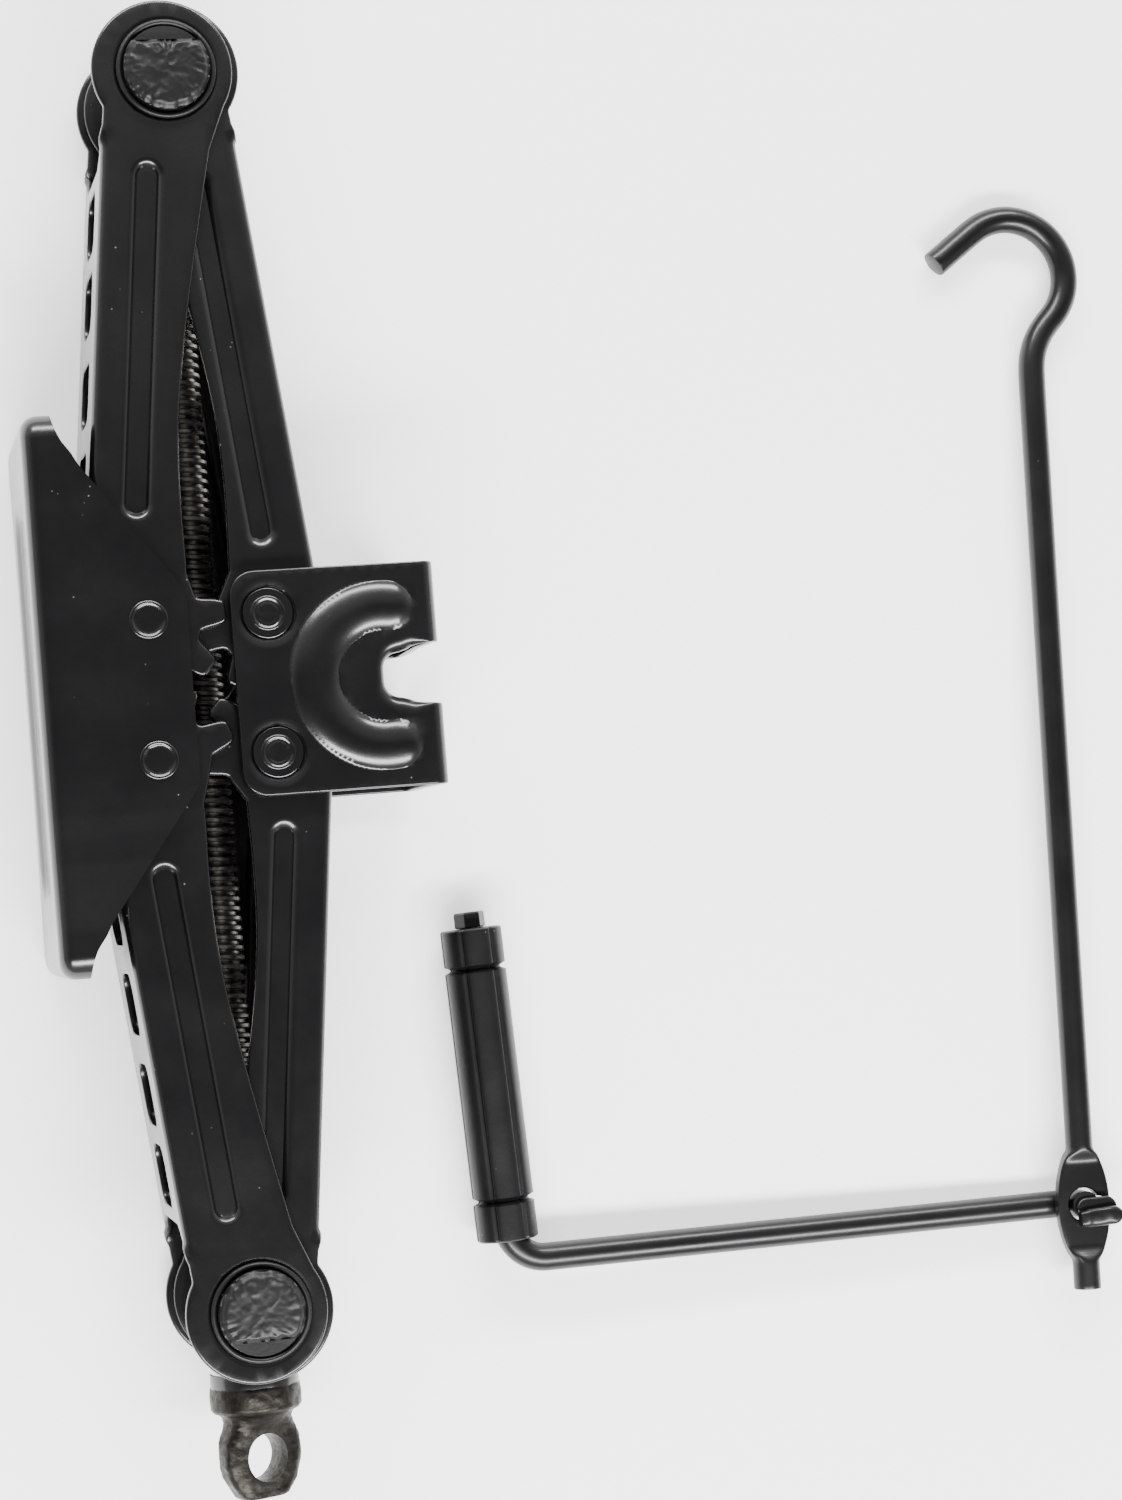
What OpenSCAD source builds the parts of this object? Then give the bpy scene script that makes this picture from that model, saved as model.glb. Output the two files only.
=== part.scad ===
// Scissor car jack, folded flat and lying on its side, with its loose folding crank handle.
// +X is the lifting direction, +Y runs along the screw away from its eye, +Z points up from the floor.
// The origin is the centre of the foot's bearing face, on the jack's middle plane.

/* [Linkage] */
// Distance between the two pivots of every arm
arm_len = 167; // [150:1:190]
// Height of the base pivots above the foot's bearing face
base_pivot_h = 33.7; // [32:0.1:38]
// Pitch radius of the arm gears, half the distance between neighbouring pivots
gear_r = 21; // [20:0.5:22]
// Angle of the arms to the screw when the jack is folded flat
fold_angle = 6.2; // [6:0.1:9]

/* [Sheet steel] */
// Thickness of all the stamped sheets
sheet = 2.5; // [2:0.1:3]
// Outer half width across the upper arms
upper_half = 27; // [26:0.1:28]
// Air between sheets that slide past each other
play = 0.4; // [0.3:0.05:0.6]
// Height of the jack's middle plane above the floor it lies on
lie_h = 36; // [35:0.1:38]

/* [Arms] */
// Radius of the round ears at the trunnions
ear_r = 21.3; // [20:0.1:22]
// How far the ears stand off the trunnions' centres towards the web
ear_offset = 1.1; // [0:0.1:1.5]
// Distance from the pivots to the outer face of a lower arm's web
lower_back = 18.6; // [16:0.1:19]
// Distance from the pivots to the outer face of an upper arm's web
upper_back = 17.5; // [13:0.1:18.5]
// Tip radius of the gear teeth
tooth_tip_r = 23.8; // [23:0.1:24]
// Root radius of the gear teeth
tooth_root_r = 16; // [15.5:0.1:16.5]

/* [Trunnions and screw] */
// Radius of the trunnion bars
trunnion_r = 12.8; // [12:0.1:13]
// Distance from a trunnion's centre to its milled flat
trunnion_flat = 8; // [7:0.1:10]
// Outer radius of the screw's thread
screw_r = 7; // [6:0.1:8]
// Length of screw beyond the centre of the nut trunnion
screw_tail = 19; // [14:1:24]
// Distance from the thrust trunnion's centre to the middle of the screw's collar
collar_y = 30; // [29:0.1:34]
// Distance from the thrust trunnion's centre to the middle of the screw's eye
eye_y = 46.5; // [46:0.5:52]
// Radius of the hole in the screw's eye
eye_hole_r = 7.3; // [6:0.1:8]

/* [Foot] */
// Length of the foot
foot_len = 168; // [150:1:180]
// Height of the foot's side flanges at the pivots
flange_h = 46; // [44:0.5:48]
// Height of the lips at the ends of the foot
lip_h = 9; // [7:0.5:11]

/* [Saddle] */
// Length of the saddle along the screw
saddle_len = 68; // [64:1:72]
// Distance from the saddle pivots to the saddle's top
saddle_h = 51.8; // [48:0.1:54]
// Width of the notch at its mouth
notch_w = 19.6; // [16:0.1:22]
// Depth of the notch
notch_d = 17.6; // [14:0.1:19]

/* [Handle] */
// Diameter of the handle's round bar
bar_d = 9; // [8:0.5:10]
// Length from the crank joint to the middle of the hook's bend
hook_reach = 312.4; // [280:1:330]
// Length of the crank arm
crank_len = 194.5; // [170:0.5:200]
// Length of the grip
grip_len = 100; // [90:1:110]
// Radius of the grip over its lobes
grip_r = 9.9; // [9:0.1:11]

/* [Hidden] */
$fn = 64;

// Pivot places with the jack folded flat
trunnion_x = base_pivot_h + arm_len * sin(fold_angle);
trunnion_y = gear_r + arm_len * cos(fold_angle);
saddle_pivot_x = base_pivot_h + 2 * arm_len * sin(fold_angle);

// Layers of sheet, counted outward from the middle plane
lower_half = upper_half + play + sheet;
base_half = lower_half + play + sheet;
saddle_half = upper_half + 2.3 + sheet;

pin_r = 4.5;            // shank of the base and saddle pivot pins
pin_play = 0.05;        // radial running clearance of the pivot pins
open_pivot_play = 0.25; // extra clearance at the one pivot where the linkage is opened
bar_play = 0.06;        // radial running clearance of the trunnion bars and the screw
tooth_pitch = 45;       // degrees from tooth to tooth
tooth_fullness = 0.8;   // power of the wave of the teeth: below 1 makes them fuller

// Points of a cubic curve from a to d with handles b and c, without its last point
function bezier(a, b, c, d, n) = [
    for (i = [0 : n - 1]) let (t = i / n, u = 1 - t)
        u * u * u * a + 3 * u * u * t * b + 3 * u * t * t * c + t * t * t * d
];
// Points of a circular arc about c
function arc(c, r, a0, a1, n) = [
    for (i = [0 : n]) let (a = a0 + (a1 - a0) * i / n) c + r * [cos(a), sin(a)]
];
// Radius of a wavy gear rim at an angle, with a tooth centred on first_tooth
function gear_rim(angle, first_tooth) =
    tooth_root_r + (tooth_tip_r - tooth_root_r)
        * pow(max(0, 0.5 + 0.5 * cos((angle - first_tooth) * 360 / tooth_pitch)), tooth_fullness);

// ---------------------------------------------------------------- arms

// Outline of an arm's side: gear rim, back edge, ear and open edge.
// The arm's pivot is at the origin, the trunnion at [arm_len, 0] and the open side faces +Y.
module arm_side_outline(first_tooth, back, belly, root_w) {
    rim_start = max(first_tooth - 90 - tooth_pitch / 2, 57);
    rim_end = 215;
    rim = [for (a = [rim_start : 2.5 : rim_end]) gear_rim(a, first_tooth) * [cos(a), sin(a)]];
    neck = [arm_len - 21, ear_r * 0.67];
    waist = [arm_len * 0.37, belly];
    root = [15, root_w];
    open_edge = concat(
        bezier(neck, [arm_len * 0.74, belly + 4.6], [arm_len * 0.52, belly], waist, 12),
        bezier(waist, [arm_len * 0.24, belly], [23, belly + 3.5], root, 10)
    );
    back_edge = [[-8, -back], [arm_len - 14, -back]];
    polygon(concat(open_edge, [root], rim, back_edge, [[arm_len - 9, ear_r * 0.84]]));
    translate([arm_len, -ear_offset]) circle(r = ear_r, $fn = 96);
}

// A pair of sides joined by a web with windows. half is the outer half width.
module channel_arm(half, back, first_tooth, belly, root_w, pivot_hole_r, windows, window_w) {
    web_end = arm_len - 27;
    difference() {
        union() {
            for (z = [-half, half - sheet])
                translate([0, 0, z]) linear_extrude(sheet)
                    arm_side_outline(first_tooth, back, belly, root_w);
            translate([4, -back, -half]) cube([web_end - 4, sheet, 2 * half]);
        }
        translate([0, 0, -half - 1]) cylinder(r = pivot_hole_r, h = 2 * half + 2);
        translate([arm_len, 0, -half - 1]) cylinder(r = trunnion_r + bar_play, h = 2 * half + 2, $fn = 96);
        for (s = windows)
            translate([s, -back - 1, 0]) rotate([-90, 0, 0]) window(window_w, sheet + 2);
    }
}

// Slot across a web, 19 mm along the arm with round ends
module window(width, depth) {
    length = 19;
    corner = 6;
    translate([-length / 2, -width / 2 + corner, 0]) cube([length, width - 2 * corner, depth]);
    translate([-length / 2 + corner, -width / 2, 0]) cube([length - 2 * corner, width, depth]);
    for (x = [-1, 1], z = [-1, 1])
        translate([x * (length / 2 - corner), z * (width / 2 - corner), 0]) cylinder(r = corner, h = depth);
}

// Puts an arm drawn along +X in its place; side is 1 for the nut end and -1 for the eye end
module place_lower(side)
    mirror([0, side > 0 ? 1 : 0, 0])
        translate([base_pivot_h, -gear_r, 0]) rotate([0, 0, fold_angle - 90]) children();
module place_upper(side)
    mirror([0, side > 0 ? 1 : 0, 0])
        translate([saddle_pivot_x, -gear_r, 0]) rotate([0, 0, -90 - fold_angle])
            mirror([0, 1, 0]) children();

// The two arms of a pair mesh tooth to gap, so their first teeth are half a pitch apart
function lower_tooth(side) = side > 0 ? 170 : 170 + tooth_pitch / 2;
function upper_tooth(side) = lower_tooth(-side);

module lower_arm(side)
    color([0.07, 0.07, 0.075]) place_lower(side)
        channel_arm(lower_half, lower_back, lower_tooth(side), 7.5, 11.3,
            pin_r + pin_play, [43, 71, 99, 124], 26);
module upper_arm(side)
    color([0.08, 0.08, 0.085]) place_upper(side)
        channel_arm(upper_half, upper_back, upper_tooth(side), 4.2, 8.5,
            pin_r + (side > 0 ? pin_play : open_pivot_play), [48, 84, 120], 24);

module lower_arm_1() lower_arm(1);
module lower_arm_2() lower_arm(-1);
module upper_arm_1() upper_arm(1);
module upper_arm_2() upper_arm(-1);

// ---------------------------------------------------------------- foot

flare_y = 39;                    // beyond this the flanges lean outward
flare = lie_h - base_half;       // by this much at the ends of the foot
foot_corner = 7.5;                 // radius of the foot's corners
flange_flat = 33;                // half length of the full-height part of a flange
taper_end = 79;                  // half length at which the flange has come down to the lip

// One quarter of the foot's outline seen from above, corner included, inset by a wall
function foot_quarter(inset) = concat(
    [[base_half - inset, flare_y]],
    [for (p = arc([lie_h - foot_corner, foot_len / 2 - foot_corner], foot_corner - inset, 0, 90, 8)) p]
);
module foot_plan(inset) {
    q = foot_quarter(inset);
    n = len(q);
    up = [for (i = [0 : n - 1]) q[i]];
    left = [for (i = [n - 1 : -1 : 0]) [-q[i][0], q[i][1]]];
    down = [for (i = [0 : n - 1]) [-q[i][0], -q[i][1]]];
    right = [for (i = [n - 1 : -1 : 0]) [q[i][0], -q[i][1]]];
    polygon(concat(up, left, down, right));
}
// Extrudes a plan drawn as [z, y] up from the bearing face along +X
module along_x(height) rotate([0, 90, 0]) mirror([1, 0, 0]) linear_extrude(height) children();

// Side view of the foot: what the flanges are trimmed to
module flange_profile() {
    half = foot_len / 2 + 1;
    right_side = concat(
        [[flange_h, flange_flat - 4], [flange_h - 3, flange_flat]],
        [[lip_h + 7, taper_end - 8]],
        bezier([lip_h + 7, taper_end - 8], [lip_h + 2.5, taper_end - 3.5], [lip_h, taper_end - 1],
            [lip_h, taper_end + 3], 6),
        [[lip_h, half], [0, half]]
    );
    n = len(right_side);
    polygon(concat(right_side, [for (i = [n - 1 : -1 : 0]) [right_side[i][0], -right_side[i][1]]]));
}
module base_plate()
    color([0.07, 0.07, 0.075]) difference() {
        intersection() {
            difference() {
                along_x(flange_h) foot_plan(0);
                translate([sheet, 0, 0]) along_x(flange_h) foot_plan(sheet);
            }
            translate([0, 0, -lie_h - 1]) linear_extrude(2 * lie_h + 2) flange_profile();
        }
        for (y = [-gear_r, gear_r])
            translate([base_pivot_h, y, -lie_h]) cylinder(r = pin_r + 0.02, h = 2 * lie_h);
    }

// A pivot pin across the jack: plain shank, with a flush peened head at each end
module pivot_pin(half, head_r, head_h)
    color([0.09, 0.09, 0.095]) {
        translate([0, 0, -half]) cylinder(r = pin_r, h = 2 * half);
        for (z = [-half - head_h, half]) translate([0, 0, z]) cylinder(r = head_r, h = head_h);
    }
module base_pivot_pin_1() translate([base_pivot_h, gear_r, 0]) pivot_pin(base_half, 5.7, 0.6);
module base_pivot_pin_2() translate([base_pivot_h, -gear_r, 0]) pivot_pin(base_half, 5.7, 0.6);

// ---------------------------------------------------------------- trunnions, bearing and screw

// A round bar across the arms with a cross bore for the screw. It is milled flat between the arms, where
// the screw's parts bear on it, and at its proud ends; a ring keeps each end outside the ear.
module trunnion(bore_r, flat_dir)
    difference() {
        union() {
            translate([0, 0, -lie_h]) cylinder(r = trunnion_r, h = 2 * lie_h, $fn = 96);
            for (z = [-ring_z - ring_h, ring_z])
                translate([0, 0, z]) cylinder(r = ring_r, h = ring_h, $fn = 96);
        }
        for (span = [[-lie_h - 1, -ring_z - ring_h], [-seat_half, seat_half], [ring_z + ring_h, lie_h + 1]])
            translate([-20, flat_dir > 0 ? trunnion_flat : -trunnion_flat - 20, span[0]])
                cube([40, 20, span[1] - span[0]]);
        rotate([90, 0, 0]) translate([0, 0, -20]) cylinder(r = bore_r, h = 40);
    }
ring_r = 15.1;                 // ring round each end of a trunnion
ring_h = 1.6;                  // and its thickness
ring_z = lower_half + 0.4;     // and its distance from the middle plane
seat_half = 23;                // half length of the milled seat between the arms
module trunnion_nut()
    color([0.12, 0.12, 0.13]) translate([trunnion_x, trunnion_y, 0]) trunnion(screw_r + bar_play, 1);
module trunnion_thrust()
    color([0.12, 0.12, 0.13]) translate([trunnion_x, -trunnion_y, 0]) trunnion(screw_r + bar_play, -1);

collar_h = 6.5;                                      // thickness of the screw's collar
collar_r = 14.2;                                     // and its radius
stack_top = -trunnion_y - trunnion_flat;             // seat of the thrust bearing on the trunnion
stack_h = collar_y - collar_h / 2 - trunnion_flat;   // room between the trunnion and the collar
race_h = 5;                                          // thickness of each bearing race
race_r = 13.2;                                       // outer radius of the races
ball_r = 2.5;                                        // radius of a bearing ball
ball_circle = 10.1;                                  // radius of the circle of ball centres
ball_count = 9;                                      // number of balls
washer_h = stack_h - 2 * race_h - 2 * ball_r + 2;    // what is left for the thrust washer

// A ring about the screw, from distance a below the bearing seat and h thick
module stack_ring(a, h, inner, outer)
    translate([trunnion_x, stack_top - a, 0]) rotate([90, 0, 0]) difference() {
        cylinder(r = outer, h = h);
        translate([0, 0, -1]) cylinder(r = inner, h = h + 2);
    }
// Groove for the balls, centred at distance a below the seat
module ball_groove(a)
    translate([trunnion_x, stack_top - a, 0]) rotate([90, 0, 0])
        rotate_extrude() translate([ball_circle, 0]) circle(r = ball_r + 0.05, $fn = 32);

ball_plane = race_h + ball_r - 1;
module bearing_seat_race()
    color([0.55, 0.56, 0.58]) difference() {
        stack_ring(0, race_h, screw_r + 0.06, race_r);
        ball_groove(ball_plane);
    }
module bearing_collar_race()
    color([0.55, 0.56, 0.58]) difference() {
        stack_ring(2 * ball_plane - race_h, race_h, screw_r, race_r);
        ball_groove(ball_plane);
    }
module bearing_balls()
    color([0.7, 0.7, 0.72])
        for (i = [0 : ball_count - 1])
            translate([trunnion_x, stack_top - ball_plane, 0])
                rotate([0, i * 360 / ball_count, 0])
                    translate([ball_circle, 0, 0]) sphere(r = ball_r, $fn = 32);
module bearing_cage()
    color([0.75, 0.62, 0.35]) difference() {
        stack_ring(ball_plane - 0.8, 1.6, screw_r + 0.2, race_r - 0.1);
        for (i = [0 : ball_count - 1])
            translate([trunnion_x, stack_top - ball_plane, 0])
                rotate([0, i * 360 / ball_count, 0])
                    translate([ball_circle, 0, 0]) rotate([90, 0, 0])
                        translate([0, 0, -2]) cylinder(r = ball_r + 0.08, h = 4);
    }
module thrust_washer()
    color([0.3, 0.3, 0.31]) stack_ring(2 * ball_plane, washer_h, screw_r, race_r + 0.4);

eye_r = 13.3;        // outer radius of the screw's eye
eye_t = 10.5;        // thickness of the eye
eye_turn = 22;       // turn of the eye about the screw
eye_foot = 60.5;     // distance from the trunnion's centre to the flattened end of the eye
screw_top = trunnion_y + screw_tail;
end_pin_r = 1.5;     // radius of the stop pin in the screw's far end

module screw()
    color([0.33, 0.31, 0.3]) translate([trunnion_x, -trunnion_y, 0]) {
        difference() {
            translate([0, -collar_y + collar_h / 2, 0]) rotate([-90, 0, 0])
                cylinder(r = screw_r, h = screw_top + trunnion_y + collar_y - collar_h / 2);
            translate([0, screw_top + trunnion_y - 5, -10]) cylinder(r = end_pin_r + 0.02, h = 20);
        }
        rotate([90, 0, 0]) translate([0, 0, collar_y - collar_h / 2]) {
            cylinder(r = collar_r, h = collar_h);
            translate([0, 0, collar_h - 0.1]) cylinder(r1 = 11, r2 = 9, h = 3.5);
        }
        rotate([0, eye_turn, 0]) difference() {
            union() {
                translate([0, -eye_y, -eye_t / 2]) cylinder(r = eye_r, h = eye_t);
                translate([-10, -eye_y, -eye_t / 2]) cube([20, eye_y - collar_y - 2, eye_t]);
            }
            translate([0, -eye_y, -eye_t]) cylinder(r = eye_hole_r, h = 2 * eye_t);
            translate([-20, -eye_foot - 20, -eye_t]) cube([40, 20, 2 * eye_t]);
        }
    }
module screw_end_pin()
    color([0.3, 0.3, 0.3])
        translate([trunnion_x, screw_top - 5, -screw_r - 1.6]) cylinder(r = end_pin_r, h = 2 * screw_r + 3.2);

// ---------------------------------------------------------------- saddle

saddle_skirt = 11.2;   // reach of the cheeks below the saddle pivots
cheek_corner = 7.5;    // radius of the cheeks' lower corners
washer_r = 7.6;        // washers under the peened ends of the saddle pins
boss_r = 8.4;          // dished bosses that bring the cheeks in to the arms

module saddle_cheek() {
    translate([-saddle_skirt, -saddle_len / 2 + cheek_corner])
        square([saddle_h + saddle_skirt, saddle_len - 2 * cheek_corner]);
    translate([-saddle_skirt + cheek_corner, -saddle_len / 2])
        square([saddle_h + saddle_skirt - cheek_corner, saddle_len]);
    for (y = [-1, 1])
        translate([-saddle_skirt + cheek_corner, y * (saddle_len / 2 - cheek_corner)])
            circle(r = cheek_corner);
}
// Notch that takes the car's sill seam, a little wider at its mouth
module notch_outline() {
    inner = 6.9;
    round = 5;
    depth = saddle_h - notch_d;
    polygon(concat(
        [[saddle_h + 5, notch_w / 2 + 0.6], [saddle_h - 4, notch_w / 2 - 0.9]],
        [for (p = arc([depth + round, inner - round], round, 90, 180, 6)) p],
        [for (p = arc([depth + round, round - inner], round, 180, 270, 6)) p],
        [[saddle_h - 4, 0.9 - notch_w / 2], [saddle_h + 5, -notch_w / 2 - 0.6]]
    ));
}
boss_h = saddle_half - sheet - upper_half - 0.3;     // how far a boss reaches in
module saddle()
    color([0.07, 0.07, 0.075]) translate([saddle_pivot_x, 0, 0]) difference() {
        union() {
            for (z = [-saddle_half, saddle_half - sheet])
                translate([0, 0, z]) linear_extrude(sheet) saddle_cheek();
            translate([saddle_h - sheet, -saddle_len / 2, -saddle_half])
                cube([sheet, saddle_len, 2 * saddle_half]);
            for (y = [-gear_r, gear_r], z = [0, 1])
                mirror([0, 0, z]) translate([0, y, saddle_half - sheet - boss_h])
                    cylinder(r = boss_r, h = sheet + boss_h - 0.5);
        }
        translate([0, 0, -saddle_half - 1]) linear_extrude(2 * saddle_half + 2) notch_outline();
        for (y = [-gear_r, gear_r]) {
            translate([0, y, -saddle_half - 1]) cylinder(r = pin_r + 0.02, h = 2 * saddle_half + 2);
            for (z = [-saddle_half - 1, saddle_half - boss_h])
                translate([0, y, z]) cylinder(r = washer_r + 0.3, h = boss_h + 1);
        }
    }
washer_t = 0.9;
module saddle_pivot_pin()
    pivot_pin(saddle_half - boss_h + washer_t, 5.3, 0.9);
module saddle_pivot_pin_1() translate([saddle_pivot_x, gear_r, 0]) saddle_pivot_pin();
module saddle_pivot_pin_2() translate([saddle_pivot_x, -gear_r, 0]) saddle_pivot_pin();
module saddle_pin_washers()
    color([0.09, 0.09, 0.095])
        for (y = [-gear_r, gear_r], z = [-saddle_half + boss_h - washer_t, saddle_half - boss_h])
            translate([saddle_pivot_x, y, z]) difference() {
                cylinder(r = washer_r, h = washer_t);
                translate([0, 0, -1]) cylinder(r = pin_r + 0.02, h = washer_t + 2);
            }

// ---------------------------------------------------------------- handle

bar_r = bar_d / 2;
crank_joint = [334.2, -187.8];      // where the crank joint stands beside the jack
shank_turn = -2;                    // the hook rod's turn from +Y
grip_turn = 2.45;                   // the grip's turn from +Y
paddle_z = -lie_h + 12.1;           // middle of the paddle, which lies on the crank arm
paddle_t = 4.2;
paddle_half_w = 9.1;
paddle_half_l = 18;
paddle_hole_r = 5.5;
paddle_root = paddle_half_l - 6;    // the round bar runs this near to the paddle's middle
hook_r = 20;                        // centreline radius of the hook
hook_offset = -6.1;                 // the hook's centre, sideways from the shank
set_r = 25;                         // centreline radius of the joggle before the hook
stub_end = -28;
// The shank slopes down until the top of the hook touches the floor
shank_slope = asin((paddle_z + lie_h - bar_r) / (hook_reach + hook_r));
joggle_s = hook_reach - sqrt(pow(hook_r + set_r, 2) - pow(set_r - hook_offset, 2));
joggle_turn = atan2(hook_reach - joggle_s, set_r - hook_offset);
hook_end = 128.7;                   // direction from the hook's centre to where its tip begins
hook_turn = hook_end + joggle_turn; // whole bend of the hook
tip_len = 18;

// Hair-thin ring that joins two lengths of bar end to end
module joint_ring() rotate([90, 0, 0]) cylinder(r = bar_r + 0.05, h = 1, center = true);

module hook_rod()
    color([0.06, 0.06, 0.065])
        translate([crank_joint[0], crank_joint[1], paddle_z])
            rotate([0, 0, shank_turn]) rotate([-shank_slope, 0, 0]) {
                difference() {
                    union() {
                        translate([0, joggle_s, 0]) rotate([90, 0, 0])
                            cylinder(r = bar_r, h = joggle_s - paddle_root);
                        translate([0, -paddle_root, 0]) rotate([90, 0, 0])
                            cylinder(r = bar_r, h = -stub_end - paddle_root);
                        paddle();
                    }
                    translate([0, 0, -10]) cylinder(r = paddle_hole_r, h = 20);
                    for (z = [0, 1]) mirror([0, 0, z]) face_cut();
                    rotate([0, 0, -8]) translate([0, -3.2, -10]) cube([20, 6.4, 20]);
                }
                // joggle, hook and tip
                translate([0, joggle_s, 0]) {
                    joint_ring();
                    translate([set_r, 0, 0]) rotate([0, 0, 180 - joggle_turn])
                        rotate_extrude(angle = joggle_turn) translate([set_r, 0]) circle(r = bar_r);
                }
                translate([hook_offset, hook_reach, 0]) {
                    rotate([0, 0, -joggle_turn]) {
                        rotate_extrude(angle = hook_turn) translate([hook_r, 0]) circle(r = bar_r);
                        translate([hook_r, 0, 0]) joint_ring();
                    }
                    rotate([0, 0, hook_end]) translate([hook_r, 0, 0]) {
                        joint_ring();
                        rotate([-90, 0, 0]) cylinder(r = bar_r, h = tip_len);
                    }
                }
            }
// The paddle's oval
module paddle() {
    big = (pow(paddle_half_l, 2) + pow(paddle_half_w, 2)) / (2 * paddle_half_w);
    intersection() {
        translate([big - paddle_half_w, 0, -paddle_t / 2]) cylinder(r = big, h = paddle_t, $fn = 128);
        translate([paddle_half_w - big, 0, -paddle_t / 2]) cylinder(r = big, h = paddle_t, $fn = 128);
    }
}
// Clears the round bar away above the paddle's flat face
module face_cut()
    translate([-12, -paddle_root - 3, paddle_t / 2]) cube([24, 2 * paddle_root + 6, 10]);

arm_z = -lie_h + bar_r;                       // bar height at the joint
grip_z = -lie_h + grip_r;                     // bar height at the grip
lug_z = paddle_z + paddle_t / 2 + 0.7;        // underside of the lug, just above the paddle
bend_r = 12.5;                                // centreline radius of the crank's corner
grip_start = 7.5;                             // from the arm's axis to the grip's end
lug_aside = 4.2;                              // the lug lies this far to one side of the joint
lug_len = 8.5;                                // and reaches this far before its round end
knuckle_r = 4.9;                              // upset end of the arm where it passes the paddle
hex_r = 5;                                    // hexagon pressed on the bar's end
hex_h = 5;
grip_bore = bar_r + 0.08;
grip_mouth = 6.4;                             // radius of the grip's mouth, opened for the crank's corner

// Where the axes of the crank's arm and grip cross
grip_corner = [crank_joint[0] - crank_len, crank_joint[1] + 0.9, grip_z];

// Puts a piece drawn along +Y from the crank's corner on the grip's axis
module on_grip_axis() translate(grip_corner) rotate([0, 0, grip_turn]) children();

// A length of bar from point a to point b
module bar_between(a, b) {
    d = b - a;
    translate(a) rotate([0, acos(d[2] / norm(d)), atan2(d[1], d[0])]) cylinder(r = bar_r, h = norm(d));
}
module crank_arm()
    color([0.06, 0.06, 0.065]) {
        joint = [crank_joint[0], crank_joint[1], arm_z];
        bend_start = grip_corner + bend_r * [cos(grip_turn), sin(grip_turn), 0];
        // arm, from the joint to the start of its corner
        bar_between(joint, bend_start);
        translate(bend_start) rotate([0, 0, 90]) joint_ring();
        translate(joint + [0, 0, 0.3 - bar_r])
            cylinder(r = knuckle_r, h = lug_z + 0.5 - arm_z - 0.3 + bar_r);
        translate([crank_joint[0], crank_joint[1] - lug_aside, lug_z]) rotate([0, 0, 2]) lug();
        // corner, spindle of the grip and hexagon
        on_grip_axis() {
            translate([bend_r, bend_r, 0]) rotate([0, 0, 180])
                rotate_extrude(angle = 90) translate([bend_r, 0]) circle(r = bar_r);
            translate([0, bend_r, 0]) {
                joint_ring();
                rotate([-90, 0, 0]) cylinder(r = bar_r, h = grip_start + grip_len + 0.5 - bend_r);
            }
            translate([0, grip_start + grip_len + 0.3, 0]) rotate([-90, 0, 0])
                cylinder(r = hex_r, h = hex_h, $fn = 6);
        }
    }
// Flattened end of the crank arm that keeps it in the paddle's hole
module lug() {
    half_w = 3;
    height = 5;
    translate([-3, -half_w, 0]) cube([lug_len + 3, 2 * half_w, height]);
    translate([lug_len, 0, 0]) cylinder(r = half_w, h = height);
}

// Six-lobed moulded grip with two necked rings
module grip()
    color([0.05, 0.05, 0.055]) on_grip_axis()
        translate([0, grip_start, 0]) rotate([-90, 0, 0]) difference() {
            union() {
                cylinder(r = grip_r - 1.6, h = grip_len);
                for (zone = [[0, 12.4], [14.2, grip_len - 14], [grip_len - 12.2, grip_len]])
                    translate([0, 0, zone[0]]) linear_extrude(zone[1] - zone[0]) grip_section();
            }
            translate([0, 0, -1]) cylinder(r = grip_bore, h = grip_len + 2);
            // relief for the crank's corner
            translate([0, 0, -0.01])
                cylinder(r1 = grip_mouth, r2 = grip_bore - 0.01, h = bend_r - grip_start + 0.6);
        }
module grip_section() {
    lobes = 6;
    polygon([for (i = [0 : 71]) let (a = i * 5, r = grip_r - 0.55 * pow(0.5 - 0.5 * cos(a * lobes), 3))
        r * [cos(a), sin(a)]]);
}

base_plate();
base_pivot_pin_1();
base_pivot_pin_2();
lower_arm_1();
lower_arm_2();
upper_arm_1();
upper_arm_2();
trunnion_nut();
trunnion_thrust();
bearing_seat_race();
bearing_balls();
bearing_cage();
bearing_collar_race();
thrust_washer();
screw();
screw_end_pin();
saddle();
saddle_pivot_pin_1();
saddle_pivot_pin_2();
saddle_pin_washers();
hook_rod();
crank_arm();
grip();
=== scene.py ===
import math

import bmesh
import bpy
import numpy as np
from mathutils import Matrix, Vector, noise
from mathutils.geometry import delaunay_2d_cdt


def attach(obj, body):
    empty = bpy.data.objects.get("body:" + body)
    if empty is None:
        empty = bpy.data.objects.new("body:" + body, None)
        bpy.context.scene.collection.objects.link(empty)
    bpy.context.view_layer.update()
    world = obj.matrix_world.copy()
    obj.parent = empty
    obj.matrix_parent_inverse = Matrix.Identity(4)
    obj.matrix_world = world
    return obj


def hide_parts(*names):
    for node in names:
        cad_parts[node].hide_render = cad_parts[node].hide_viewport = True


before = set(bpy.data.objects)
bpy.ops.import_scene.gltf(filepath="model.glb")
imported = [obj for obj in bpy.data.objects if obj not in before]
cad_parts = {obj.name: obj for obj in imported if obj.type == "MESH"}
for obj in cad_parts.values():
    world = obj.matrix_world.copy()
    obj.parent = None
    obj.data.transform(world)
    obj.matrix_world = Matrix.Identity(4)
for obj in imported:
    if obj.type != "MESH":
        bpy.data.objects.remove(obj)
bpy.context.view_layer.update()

# Lengths in this script are millimetres in the row frame: +X lifts, +Y runs along the screw away
# from its eye, +Z is up from the floor. Meshes are scaled to metres as they are made.
MM = 0.001
FLOOR_Z = -36.0

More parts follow.
